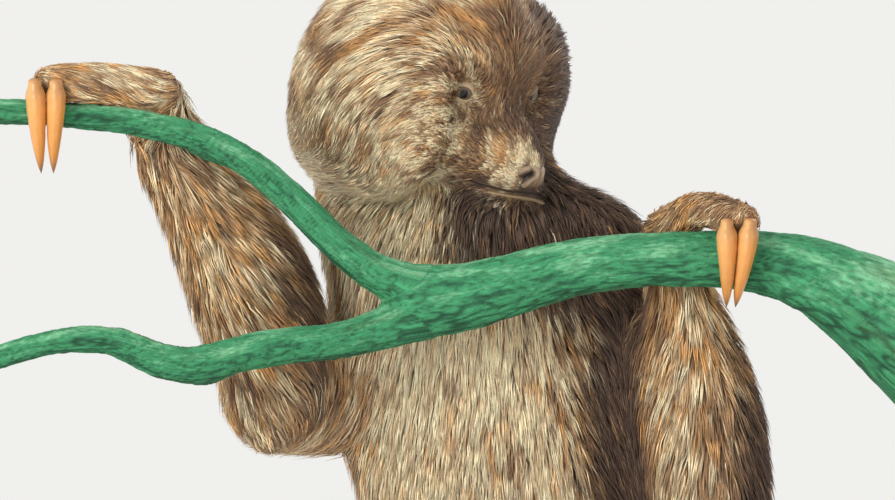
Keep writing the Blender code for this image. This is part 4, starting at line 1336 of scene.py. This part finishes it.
def makeEyeball(eye, material):
    rings, turns = eyeballShape["rings"], eyeballShape["turns"]
    off = np.repeat(np.linspace(1.0, 179.0, rings)[:, None], turns, axis=1)
    grid = np.broadcast_to(np.linspace(0, 2 * np.pi, turns, endpoint=False), off.shape)
    far = eye.radius * 0.985 + eyeballShape["cornea"] * np.exp(-(off / 30) ** 2)
    coords = (eye.middle + eye.way(grid, off) * far[..., None]).reshape(-1, 3)
    tone = linearTones(eyeballShape["tones"])
    fibres = 1 + 0.35 * np.sin(grid * 31) * np.sin(grid * 17 + 1) + 0.25 * smoothStep(off, 20, 36)
    pupil, iris = eyeballShape["pupil"], eyeballShape["iris"]
    colour = overlaid(tone["iris"] * fibres[..., None], tone, (
        ("pupil", 1 - smoothStep(off, pupil - 2, pupil + 2)),
        ("irisEdge", smoothStep(off, iris - 8, iris)),
        ("white", smoothStep(off, iris + 2, iris + 10)),
    ))
    poles = eye.middle + np.array([eye.look * far[0, 0], -eye.look * far[-1, 0]])
    mesh = meshFromFaces(eye.name + "Ball", np.concatenate([coords, poles]), ringFaces(rings, turns))
    ball = newPiece({"eye_left": "eyeballLeft", "eye_right": "eyeballRight"}[eye.name], mesh)
    paint(mesh, "eyeColour", np.concatenate([colour.reshape(-1, 3), [tone["pupil"], tone["white"]]]))
    turnedOut(mesh)
    mesh.materials.append(material)
    ownPiece(ball, "eye", eye.name)


def turnedOut(mesh):
    # faces of a closed mesh turned to point out
    edit = bmesh.new()
    edit.from_mesh(mesh)
    bmesh.ops.recalc_face_normals(edit, faces=edit.faces)
    edit.to_mesh(mesh)
    edit.free()


# nose pad

noseShape |= {
    "detail": 6,
    "slit": ((0.0088, -0.0022), (0.0050, 0.0042)),   # aside and up, the nostril's outer end and its inner end
    "slitWidth": 0.00150, "slitDepth": 0.0026,
    # hole is painted shade inside the nostrils; ridge is a painted highlight on the raised ridge and nostril
    # rims
    "tones": {"pad": (132, 106, 84), "edge": (150, 124, 98), "hole": (20, 14, 12), "ridge": (196, 174, 148)},
}


def makeNoseMaterial():
    made, tree, shader = newMaterial("noseLeather")
    tone = addNode(tree, "ShaderNodeAttribute", attribute_name="noseColour")
    where = addNode(tree, "ShaderNodeTexCoord")
    pebbles = addNode(tree, "ShaderNodeTexVoronoi", Scale=1500.0)
    blotches = addNode(tree, "ShaderNodeTexNoise", Scale=420.0, Detail=3.0)
    bump = addNode(tree, "ShaderNodeBump", Strength=0.45, Distance=0.0004, invert=True)
    damp = addRange(tree, 0.30, 0.52)
    vary = addRange(tree, 0.78, 1.22)
    scaled = addNode(tree, "ShaderNodeVectorMath", operation="SCALE")
    for texture in (pebbles, blotches):
        wire(where, "Object", texture, "Vector")
    wire(pebbles, "Distance", bump, "Height")
    wire(blotches, "Fac", damp, "Value")
    wire(blotches, "Fac", vary, "Value")
    wire(tone, "Color", scaled, 0)
    wire(vary, "Result", scaled, "Scale")
    wire(scaled, "Vector", shader, "Base Color")
    wire(damp, "Result", shader, "Roughness")
    wire(bump, "Normal", shader, "Normal")
    shader.inputs["Subsurface Weight"].default_value = 0.08
    shader.inputs["Subsurface Scale"].default_value = 0.002
    return made


def makeNose():
    edit = bmesh.new()
    bmesh.ops.create_icosphere(edit, subdivisions=noseShape["detail"], radius=1)
    mesh = bpy.data.meshes.new("nosePad")
    edit.to_mesh(mesh)
    edit.free()
    ball = coordsOf(mesh)
    local = ball * noseShape["radii"]
    side, up = np.abs(local[:, 1]), local[:, 2]
    front = smoothStep(ball[:, 0], -0.1, 0.4)
    outer, inner = np.array(noseShape["slit"])
    run = inner - outer
    spot = np.stack([side, up], axis=1)
    t = np.clip((spot - outer) @ run / (run @ run), 0, 1)
    bowed = np.outer(np.sin(t * np.pi), (0.0006, 0.0008))
    away = np.linalg.norm(spot - outer - t[:, None] * run - bowed, axis=1)
    wide = noseShape["slitWidth"] * (1.25 - 0.5 * t)
    hole = np.exp(-(away / wide) ** 3) * front
    rim = np.exp(-((away - 2.1 * wide) / wide) ** 2) * front
    groove = np.exp(-(side / 0.0006) ** 2) * smoothStep(-up, -0.004, 0.0) * front
    ridge = np.exp(-((side - 0.0017) / 0.0011) ** 2) * smoothStep(up, -0.006, 0.002) * front
    flat = smoothStep(ball[:, 0], 0.55, 1.0) * 0.0007
    grain = noiseAt(local, 900.0, 4.0) * 0.00010
    out = 0.0006 * rim - noseShape["slitDepth"] * hole - 0.0008 * groove + 0.0005 * ridge - flat + grain
    setCoords(mesh, fromHead(fromPad(local + unit(ball) * out[:, None])))
    turnedOut(mesh)
    tone = linearTones(noseShape["tones"])
    # painted highlight on the ridge and rims, painted shade in the nostrils
    paint(mesh, "noseColour", overlaid(tone["pad"], tone, (
        ("edge", 1 - front),
        ("ridge", 0.55 * np.maximum(ridge, 0.8 * rim)),
        ("hole", hole ** 0.5),
    )))
    pad = newPiece("nosePad", mesh)
    mesh.materials.append(makeNoseMaterial())
    ownPiece(pad, "nose", "nose")


# claws

clawShape = {
    "slices": 9, "rings": 34, "turns": 28,
    "ridges": 0.035,   # depth of the lengthwise ridges, as a share of the claw's radius
    "keel": 0.16,   # how much the inner side is pinched
    # pale is a painted highlight: a paler band down one side of each claw, fading towards the tip
    "tones": {"root": (176, 122, 72), "shaft": (208, 138, 66), "pale": (236, 188, 122), "tip": (104, 62, 38)},
}


def makeClawMaterial():
    made, tree, shader = newMaterial("clawHorn")
    tone = addNode(tree, "ShaderNodeAttribute", attribute_name="clawColour")
    place = addNode(tree, "ShaderNodeAttribute", attribute_name="clawPlace")
    streak = addNode(tree, "ShaderNodeTexNoise", Scale=6.0, Detail=4.0)
    bump = addNode(tree, "ShaderNodeBump", Strength=0.25, Distance=0.0003)
    vary = addRange(tree, 0.80, 1.20)
    worn = addRange(tree, 0.28, 0.50)
    scaled = addNode(tree, "ShaderNodeVectorMath", operation="SCALE")
    wire(place, "Vector", streak, "Vector")
    wire(streak, "Fac", bump, "Height")
    wire(streak, "Fac", vary, "Value")
    wire(streak, "Fac", worn, "Value")
    wire(tone, "Color", scaled, 0)
    wire(vary, "Result", scaled, "Scale")
    wire(scaled, "Vector", shader, "Base Color")
    wire(worn, "Result", shader, "Roughness")
    wire(bump, "Normal", shader, "Normal")
    shader.inputs["Coat Weight"].default_value = 0.15
    return made


def sectionsOf(name):
    # middles and half sizes of the claw's cross-sections from its root to its tip
    mesh = nodes[name].data
    coords, edges = coordsOf(mesh), edgesOf(mesh)
    spread = coords - coords.mean(axis=0)
    reach = spread @ np.linalg.svd(spread, full_matrices=False)[2][0]
    ends = [coords[(reach - reach.min()) < 0.003], coords[(reach.max() - reach) < 0.003]]
    if np.ptp(ends[0], axis=0).max() < np.ptp(ends[1], axis=0).max():
        reach = -reach
    cuts = np.linspace(reach.min() + 0.0008, reach.max() - 0.0012, clawShape["slices"])
    middles, halves = [], []
    for cut in cuts:
        points = cutPoints(coords, edges, reach, cut)
        centre = (points.max(axis=0) + points.min(axis=0)) / 2
        middles.append(centre)
        halves.append(np.linalg.norm(points - centre, axis=1).mean())
    tip = coords[reach > reach.max() - 0.0004].mean(axis=0)
    return np.array(middles + [tip]), np.array(halves + [0.0003])


def makeClaw(name, material):
    middles, halves = sectionsOf(name)
    way = unit(middles[-1] - middles[0])
    sag = middles[len(middles) // 2] - (middles[0] + middles[-1]) / 2
    bow = unit(sag - way * (sag @ way))
    across = np.cross(way, bow)
    rings, turns = clawShape["rings"], clawShape["turns"]
    lengths = np.concatenate([[0], np.cumsum(np.linalg.norm(np.diff(middles, axis=0), axis=1))])
    t = np.linspace(0, 1, rings) ** 0.9
    at = t * lengths[-1]
    line = np.stack([np.interp(at, lengths, middles[:, k]) for k in range(3)], axis=1)
    chain = np.stack([np.arange(rings - 1), np.arange(1, rings)], axis=1)
    ends = line[[0, -1]].copy()
    line = relaxed(line, chain, 6, 0.5)
    line[[0, -1]] = ends
    radius = np.interp(at, lengths, halves)
    radius = relaxed(radius, chain, 4, 0.5)[:, 0]
    radius[-1] = 0.0002
    grid = np.linspace(0, 2 * np.pi, turns, endpoint=False)
    inner = np.clip(-np.cos(grid), 0, 1)
    profile = 1 - clawShape["keel"] * inner ** 3 * np.abs(np.sin(grid))
    profile = profile + 0.05 * np.clip(np.cos(grid), 0, 1) ** 4
    profile = profile * (1 + clawShape["ridges"] * np.sin(grid * 9) * 0.6)
    tall = 1.08 * np.cos(grid) * profile
    wide = 0.90 * np.sin(grid) * profile * (1 - 0.30 * inner)
    tangent = unit(np.gradient(line, axis=0))
    side = unit(across - tangent * (tangent @ across)[:, None])
    out = np.cross(side, tangent)
    out *= np.sign(out @ bow)[:, None]
    growth = 1 + 0.018 * np.sin(t * 46) * (1 - t) + 0.03 * np.exp(-(t / 0.06) ** 2)
    size = (radius * growth)[:, None, None]
    coords = line[:, None] + size * (tall[None, :, None] * out[:, None] + wide[None, :, None] * side[:, None])
    rootSpot = line[0] - tangent[0] * 0.0006
    tipSpot = line[-1] + tangent[-1] * 0.0004
    coords = np.concatenate([coords.reshape(-1, 3), [rootSpot, tipSpot]])
    mesh = meshFromFaces(name, coords, ringFaces(rings, turns))
    turnedOut(mesh)
    tone = linearTones(clawShape["tones"])
    along, turned = np.meshgrid(t, grid, indexing="ij")
    colour = overlaid(tone["shaft"], tone, (
        ("root", 1 - smoothStep(along, 0.05, 0.35)),
        # painted highlight down one side
        ("pale", 0.55 * np.exp(-((np.cos(turned - 1.0) - 1) / 0.5) ** 2) * (1 - along)),
        ("tip", 0.75 * smoothStep(along, 0.72, 1.0)),
    ))
    paint(mesh, "clawColour", np.concatenate([colour.reshape(-1, 3), [tone["root"], tone["tip"]]]))
    place = np.stack([np.cos(turned) * 1.2, np.sin(turned) * 1.2, along * 1.5], axis=-1).reshape(-1, 3)
    setPlaces(mesh, "clawPlace", np.concatenate([place, [(0, 0, 0), (0, 0, 1.5)]]))
    words = name.split("_")
    piece = newPiece("claw" + "".join(word.capitalize() for word in words[1:]), mesh)
    mesh.materials.append(material)
    ownPiece(piece, "claw", name)


# branch

perchNodes = ("perch_main", "perch_upper_limb", "perch_lower_limb")
barkShape = {
    "grow": 0.0006, "voxel": 0.0013,
    "lump": 0.0011, "furrow": 0.00085, "fine": 0.00030,   # depths of its lumps, furrows and fine grain
    "stations": 26,   # cuts along each limb
    "knots": (   # where each is along the branch, its turn round it and its height
        (-0.118, 3.6, 0.0050), (0.052, 5.4, 0.0030), (0.176, 2.2, 0.0034), (-0.190, 1.1, 0.0022),
    ),
    "ringGap": 0.0017,   # between the rings of the sawn ends
    "tones": {
        # light is partly a painted highlight on the limbs' tops, dark partly painted shade underneath and in
        # the furrows; both also vary at random
        "base": (56, 132, 90), "light": (128, 188, 146), "dark": (24, 66, 46), "brown": (80, 92, 56),
        "wood": (206, 178, 128), "ring": (150, 116, 74),
    },
}


def limbLine(name):
    # middles of the limb's cuts along X
    low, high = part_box(name)
    mesh = nodes[name].data
    coords, edges = coordsOf(mesh), edgesOf(mesh)
    cuts = np.linspace(low[0] + 0.0015, high[0] - 0.0015, barkShape["stations"])
    line = []
    for cut in cuts:
        points = cutPoints(coords, edges, coords[:, 0], cut)
        line.append((points.max(axis=0) + points.min(axis=0)) / 2)
    chain = np.stack([np.arange(len(cuts) - 1), np.arange(1, len(cuts))], axis=1)
    ends = [line[0], line[-1]]
    line = relaxed(np.array(line), chain, 3, 0.5)
    line[0], line[-1] = ends
    return line


def barkPlaces(coords):
    # each point's way round its limb and along it, as a place in a noise: (cos, sin, along)
    best = np.full(len(coords), np.inf)
    place = np.zeros((len(coords), 3))
    radius = np.zeros(len(coords))
    for name in perchNodes:
        line = limbLine(name)
        for k in range(len(line) - 1):
            start, run = line[k], line[k + 1] - line[k]
            t = np.clip((coords - start) @ run / (run @ run), 0, 1)
            away = coords - start - t[:, None] * run
            far = np.linalg.norm(away, axis=1)
            nearer = far < best
            best[nearer] = far[nearer]
            way = unit(run)
            upward = unit(np.array((0, 0, 1.0)) - way * way[2])
            angle = np.arctan2(away @ np.cross(way, upward), away @ upward)
            place[nearer] = np.stack([np.cos(angle), np.sin(angle), start[0] + t * run[0]], axis=1)[nearer]
            radius[nearer] = far[nearer]
    return place, radius


def makeBarkMaterial():
    made, tree, shader = newMaterial("greenBark")
    tone = addNode(tree, "ShaderNodeAttribute", attribute_name="barkColour")
    place = addNode(tree, "ShaderNodeAttribute", attribute_name="barkPlace")
    stretch = addNode(tree, "ShaderNodeVectorMath", operation="MULTIPLY")
    stretch.inputs[1].default_value = (4.0, 4.0, 60.0)
    fibres = addNode(tree, "ShaderNodeTexNoise", Scale=3.2, Detail=5.0, Roughness=0.65)
    where = addNode(tree, "ShaderNodeTexCoord")
    specks = addNode(tree, "ShaderNodeTexNoise", Scale=650.0, Detail=3.0)
    height = addNode(tree, "ShaderNodeMath", operation="ADD")
    bump = addNode(tree, "ShaderNodeBump", Strength=0.55, Distance=0.0010)
    vary = addRange(tree, 0.55, 1.45, 0.30, 0.70)
    rough = addRange(tree, 0.62, 0.92)
    scaled = addNode(tree, "ShaderNodeVectorMath", operation="SCALE")
    wire(place, "Vector", stretch, 0)
    wire(stretch, "Vector", fibres, "Vector")
    wire(where, "Object", specks, "Vector")
    wire(fibres, "Fac", height, 0)
    wire(specks, "Fac", height, 1)
    wire(height, "Value", bump, "Height")
    wire(fibres, "Fac", vary, "Value")
    wire(specks, "Fac", rough, "Value")
    wire(tone, "Color", scaled, 0)
    wire(vary, "Result", scaled, "Scale")
    wire(scaled, "Vector", shader, "Base Color")
    wire(rough, "Result", shader, "Roughness")
    wire(bump, "Normal", shader, "Normal")
    shader.inputs["Specular IOR Level"].default_value = 0.3
    return made


def makeBranch():
    branch = remeshed("branch", cadShell(perchNodes, barkShape["grow"]), barkShape["voxel"])
    mesh = branch.data
    largestBody(mesh)
    coords, edges = coordsOf(mesh), edgesOf(mesh)
    endAt = max(abs(coords[:, 0].min()), coords[:, 0].max())
    sawn = smoothStep(np.abs(coords[:, 0]), endAt - 0.0016, endAt - 0.0008)
    soft = relaxed(coords, edges, 14)
    coords = coords * sawn[:, None] + soft * (1 - sawn[:, None])
    setCoords(mesh, coords)
    place, radius = barkPlaces(coords)
    squeezed = place * (1.0, 1.0, 9.0)
    lumps = noiseAt(squeezed, 1.6, 2.0)
    furrows = noiseAt(place * (1.0, 1.0, 14.0), 5.5, 5.0)
    fine = noiseAt(place * (1.0, 1.0, 26.0), 13.0, 9.0)
    furrow = -np.clip(np.abs(furrows) * -3.2 + 1, 0, 1)
    knots = np.zeros(len(coords))
    for x, turn, high in barkShape["knots"]:
        away = np.stack([(place[:, 2] - x) / 0.010, (place[:, 0] - math.cos(turn)) / 0.42,
                         (place[:, 1] - math.sin(turn)) / 0.42], axis=1)
        far = np.linalg.norm(away, axis=1)
        knots += high * (np.exp(-far ** 2) - 0.55 * np.exp(-(far / 0.45) ** 2))
    out = barkShape["lump"] * lumps + barkShape["furrow"] * furrow * 0.8 + barkShape["fine"] * fine + knots
    setCoords(mesh, coords + normalsOf(mesh) * (out * (1 - sawn))[:, None])
    tone = linearTones(barkShape["tones"])
    top = normalsOf(mesh)[:, 2]
    broad = noiseAt(place * (1.0, 1.0, 18.0), 2.3, 12.0)
    sawnFace = sawn * smoothStep(np.abs(normalsOf(mesh)[:, 0]), 0.5, 0.8)
    paint(mesh, "barkColour", overlaid(tone["base"], tone, (
        # painted highlight on top and painted shade underneath and in the furrows, mixed with random tone
        ("light", smoothStep(0.45 * top + 0.8 * broad + 0.5 * fine, 0.15, 0.9) * 0.75),
        ("dark", smoothStep(-0.45 * top - 0.6 * broad - 0.9 * furrow - 0.3, 0.05, 0.8) * 0.85),
        ("brown", smoothStep(lumps, 0.25, 0.7) * 0.35),
        ("wood", sawnFace),
        ("ring", sawnFace * (0.5 + 0.5 * np.cos(radius * 2 * np.pi / barkShape["ringGap"])) * 0.7),
    )))
    setPlaces(mesh, "barkPlace", place)
    mesh.shade_smooth()
    mesh.materials.append(makeBarkMaterial())
    ownPiece(branch, "bark", *perchNodes)
    print("branch:", len(mesh.polygons), "faces")


# stand

standShape = {
    "rodTurns": 56,
    "foot": ((0.0178, 0.0000), (0.0180, 0.0006), (0.0180, 0.0030), (0.0172, 0.0040), (0.0108, 0.0048),
             (0.0092, 0.0060), (0.0086, 0.0090), (0.0086, 0.0150), (0.0074, 0.0165), (0.0060, 0.0172)),
    "shaft": 0.0055, "shaftFrom": 0.019,   # radius of a rod, and where it starts above the base
    "edge": 0.0012,   # bevel of the base and of the rods' ends
}


def makeSteelMaterial():
    made, tree, shader = newMaterial("brushedSteel")
    where = addNode(tree, "ShaderNodeTexCoord")
    stretch = addNode(tree, "ShaderNodeVectorMath", operation="MULTIPLY")
    stretch.inputs[1].default_value = (60.0, 60.0, 2600.0)
    lines = addNode(tree, "ShaderNodeTexNoise", Scale=1.0, Detail=3.0)
    bump = addNode(tree, "ShaderNodeBump", Strength=0.10, Distance=0.0001)
    rough = addRange(tree, 0.24, 0.42)
    wire(where, "Object", stretch, 0)
    wire(stretch, "Vector", lines, "Vector")
    wire(lines, "Fac", bump, "Height")
    wire(lines, "Fac", rough, "Value")
    wire(rough, "Result", shader, "Roughness")
    wire(bump, "Normal", shader, "Normal")
    shader.inputs["Metallic"].default_value = 1.0
    shader.inputs["Base Color"].default_value = (0.62, 0.61, 0.59, 1)
    return made


def makeRod(name, pieceName, material):
    low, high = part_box(name)
    foot = Vector(((low[0] + high[0]) / 2, (low[1] + high[1]) / 2, low[2]))
    shaft, edge = standShape["shaft"], standShape["edge"]
    tall = high[2] - low[2]
    profile = [(0.0, 0.0), *standShape["foot"]]
    profile += [(shaft, standShape["shaftFrom"]), (shaft, tall * 0.5), (shaft, tall - edge), (0.0, tall)]
    turns = standShape["rodTurns"]
    grid = np.linspace(0, 2 * np.pi, turns, endpoint=False)
    coords, faces = [foot + Vector((0, 0, profile[0][1]))], []
    for radius, z in profile[1:-1]:
        coords += [foot + Vector((radius * math.cos(a), radius * math.sin(a), z)) for a in grid]
    coords.append(foot + Vector((0, 0, profile[-1][1])))
    top = len(coords) - 1
    for n in range(turns):
        m = (n + 1) % turns
        faces.append((0, 1 + m, 1 + n))
        faces.append((top, top - turns + n, top - turns + m))
        for k in range(len(profile) - 3):
            a, b = 1 + k * turns + n, 1 + k * turns + m
            faces += [(a, b, b + turns), (a, b + turns, a + turns)]
    mesh = meshFromFaces(pieceName, coords, np.array(faces))
    turnedOut(mesh)
    rod = newPiece(pieceName, mesh)
    mesh.set_sharp_from_angle(angle=math.radians(40))
    mesh.materials.append(material)
    ownPiece(rod, "rod", name)


def makeOakMaterial():
    made, tree, shader = newMaterial("darkOak")
    where = addNode(tree, "ShaderNodeTexCoord")
    stretch = addNode(tree, "ShaderNodeVectorMath", operation="MULTIPLY")
    stretch.inputs[1].default_value = (3.0, 26.0, 26.0)
    bend = addNode(tree, "ShaderNodeTexNoise", Scale=1.6, Detail=4.0)
    grain = addNode(tree, "ShaderNodeTexWave", Scale=1.4, Distortion=5.0, Detail=3.0, bands_direction="Y")
    pores = addNode(tree, "ShaderNodeTexNoise", Scale=14.0, Detail=6.0, Roughness=0.7)
    tones = addNode(tree, "ShaderNodeValToRGB")
    tones.color_ramp.elements[0].color = (*linear((84, 54, 33)), 1)
    tones.color_ramp.elements[1].color = (*linear((150, 104, 66)), 1)
    both = addNode(tree, "ShaderNodeMath", operation="MULTIPLY_ADD")
    both.inputs[1].default_value = 0.55
    bump = addNode(tree, "ShaderNodeBump", Strength=0.22, Distance=0.0006)
    rough = addRange(tree, 0.34, 0.58)
    wire(where, "Object", stretch, 0)
    for texture in (bend, grain, pores):
        wire(stretch, "Vector", texture, "Vector")
    half = addNode(tree, "ShaderNodeMath", operation="MULTIPLY")
    half.inputs[1].default_value = 0.5
    wire(pores, "Fac", half, 0)
    wire(grain, "Fac", both, 0)
    wire(half, "Value", both, 2)
    wire(both, "Value", tones, "Fac")
    wire(tones, "Color", shader, "Base Color")
    wire(pores, "Fac", bump, "Height")
    wire(bend, "Fac", rough, "Value")
    wire(rough, "Result", shader, "Roughness")
    wire(bump, "Normal", shader, "Normal")
    shader.inputs["Coat Weight"].default_value = 0.25
    shader.inputs["Coat Roughness"].default_value = 0.25
    return made


def finishBase():
    base = nodes["stand_base"]
    edge = base.modifiers.new("edge", "BEVEL")
    edge.width, edge.segments, edge.limit_method = standShape["edge"], 3, "ANGLE"
    base.data.materials.clear()
    base.data.materials.append(makeOakMaterial())


addLidsAndLips()
eyeMaterial, clawMaterial, steelMaterial = makeEyeMaterial(), makeClawMaterial(), makeSteelMaterial()
for eye in eyes:
    makeEyeball(eye, eyeMaterial)
makeNose()
print("eyes and nose: done")
for name in nodes:
    if name.startswith("claw_"):
        makeClaw(name, clawMaterial)
print("claws: done")
makeBranch()
makeRod("stand_rod_left", "rodLeft", steelMaterial)
makeRod("stand_rod_right", "rodRight", steelMaterial)
finishBase()
print("branch and stand: done")


# floor, light and camera

stage = {
    "floorRadius": 40.0, "floor": (0.80, 0.795, 0.78),
    "plainFrom": (2.0, 7.0),   # metres from the middle over which the floor takes the backdrop's own tone
    "backdrop": (0.875, 0.870, 0.850),
    "cameraDistance": 4.0,
    "cameraSide": 0.0,
    "cameraHeight": 0.560,
    "frameWidth": 0.4475,   # how much shows across, at the animal
}


def makeStage():
    mesh = bpy.data.meshes.new("studioFloor")
    disc = bmesh.new()
    bmesh.ops.create_circle(disc, cap_ends=True, radius=stage["floorRadius"], segments=96)
    disc.to_mesh(mesh)
    disc.free()
    floor = newPiece("studioFloor", mesh, smooth=False)
    made, tree, shader = newMaterial("paleFloor")
    shader.inputs["Base Color"].default_value = (*stage["floor"], 1)
    shader.inputs["Roughness"].default_value = 0.9
    where = addNode(tree, "ShaderNodeTexCoord")
    away = addNode(tree, "ShaderNodeVectorMath", operation="LENGTH")
    fade = addNode(tree, "ShaderNodeMapRange", interpolation_type="SMOOTHSTEP")
    fade.inputs["From Min"].default_value, fade.inputs["From Max"].default_value = stage["plainFrom"]
    glow = addNode(tree, "ShaderNodeEmission", Color=(*stage["backdrop"], 1))
    mix = addNode(tree, "ShaderNodeMixShader")
    wire(where, "Object", away, 0)
    wire(away, "Value", fade, "Value")
    wire(fade, "Result", mix, "Fac")
    wire(shader, "BSDF", mix, 1)
    wire(glow, "Emission", mix, 2)
    tree.links.new(mix.outputs["Shader"], tree.nodes["Material Output"].inputs["Surface"])
    mesh.materials.append(made)
    world = bpy.data.worlds.new("studio")
    world.use_nodes = True
    world.node_tree.nodes["Background"].inputs["Color"].default_value = (*stage["backdrop"], 1)
    world.node_tree.nodes["Background"].inputs["Strength"].default_value = 1.0
    bpy.context.scene.world = world


lamps = {   # where each stands, its size in metres, its power and its colour
    "key": ((-1.8, -2.7, 1.55), 1.5, 66.0, (1.0, 0.97, 0.92)),
    "fill": ((2.2, -2.0, 0.8), 1.8, 7.0, (0.93, 0.96, 1.0)),
    "low": ((-0.9, -2.4, 0.15), 1.4, 11.0, (1.0, 0.97, 0.93)),
    "rim": ((1.0, 2.2, 2.2), 1.2, 14.0, (1.0, 0.98, 0.95)),
}


def addLamps():
    aim = Vector((0, 0, stage["cameraHeight"]))
    for name, (place, size, power, colour) in lamps.items():
        light = bpy.data.lights.new(name, "AREA")
        light.shape, light.size = "DISK", size
        light.energy, light.color = power, colour
        lamp = bpy.data.objects.new(name, light)
        bpy.context.scene.collection.objects.link(lamp)
        lamp.location = place
        lamp.rotation_mode = "QUATERNION"
        lamp.rotation_quaternion = (aim - Vector(place)).to_track_quat("-Z", "Y")


def addCamera():
    lens = bpy.data.cameras.new("camera")
    lens.sensor_width = 36
    lens.lens = lens.sensor_width * stage["cameraDistance"] / stage["frameWidth"]
    lens.clip_end = 200
    camera = bpy.data.objects.new("camera", lens)
    bpy.context.scene.collection.objects.link(camera)
    camera.location = (stage["cameraSide"], -stage["cameraDistance"], stage["cameraHeight"])
    camera.rotation_euler = (math.radians(90), 0, 0)
    bpy.context.scene.camera = camera


makeStage()
addLamps()
addCamera()
bpy.context.scene.view_settings.view_transform = "Standard"
print("stage: done")
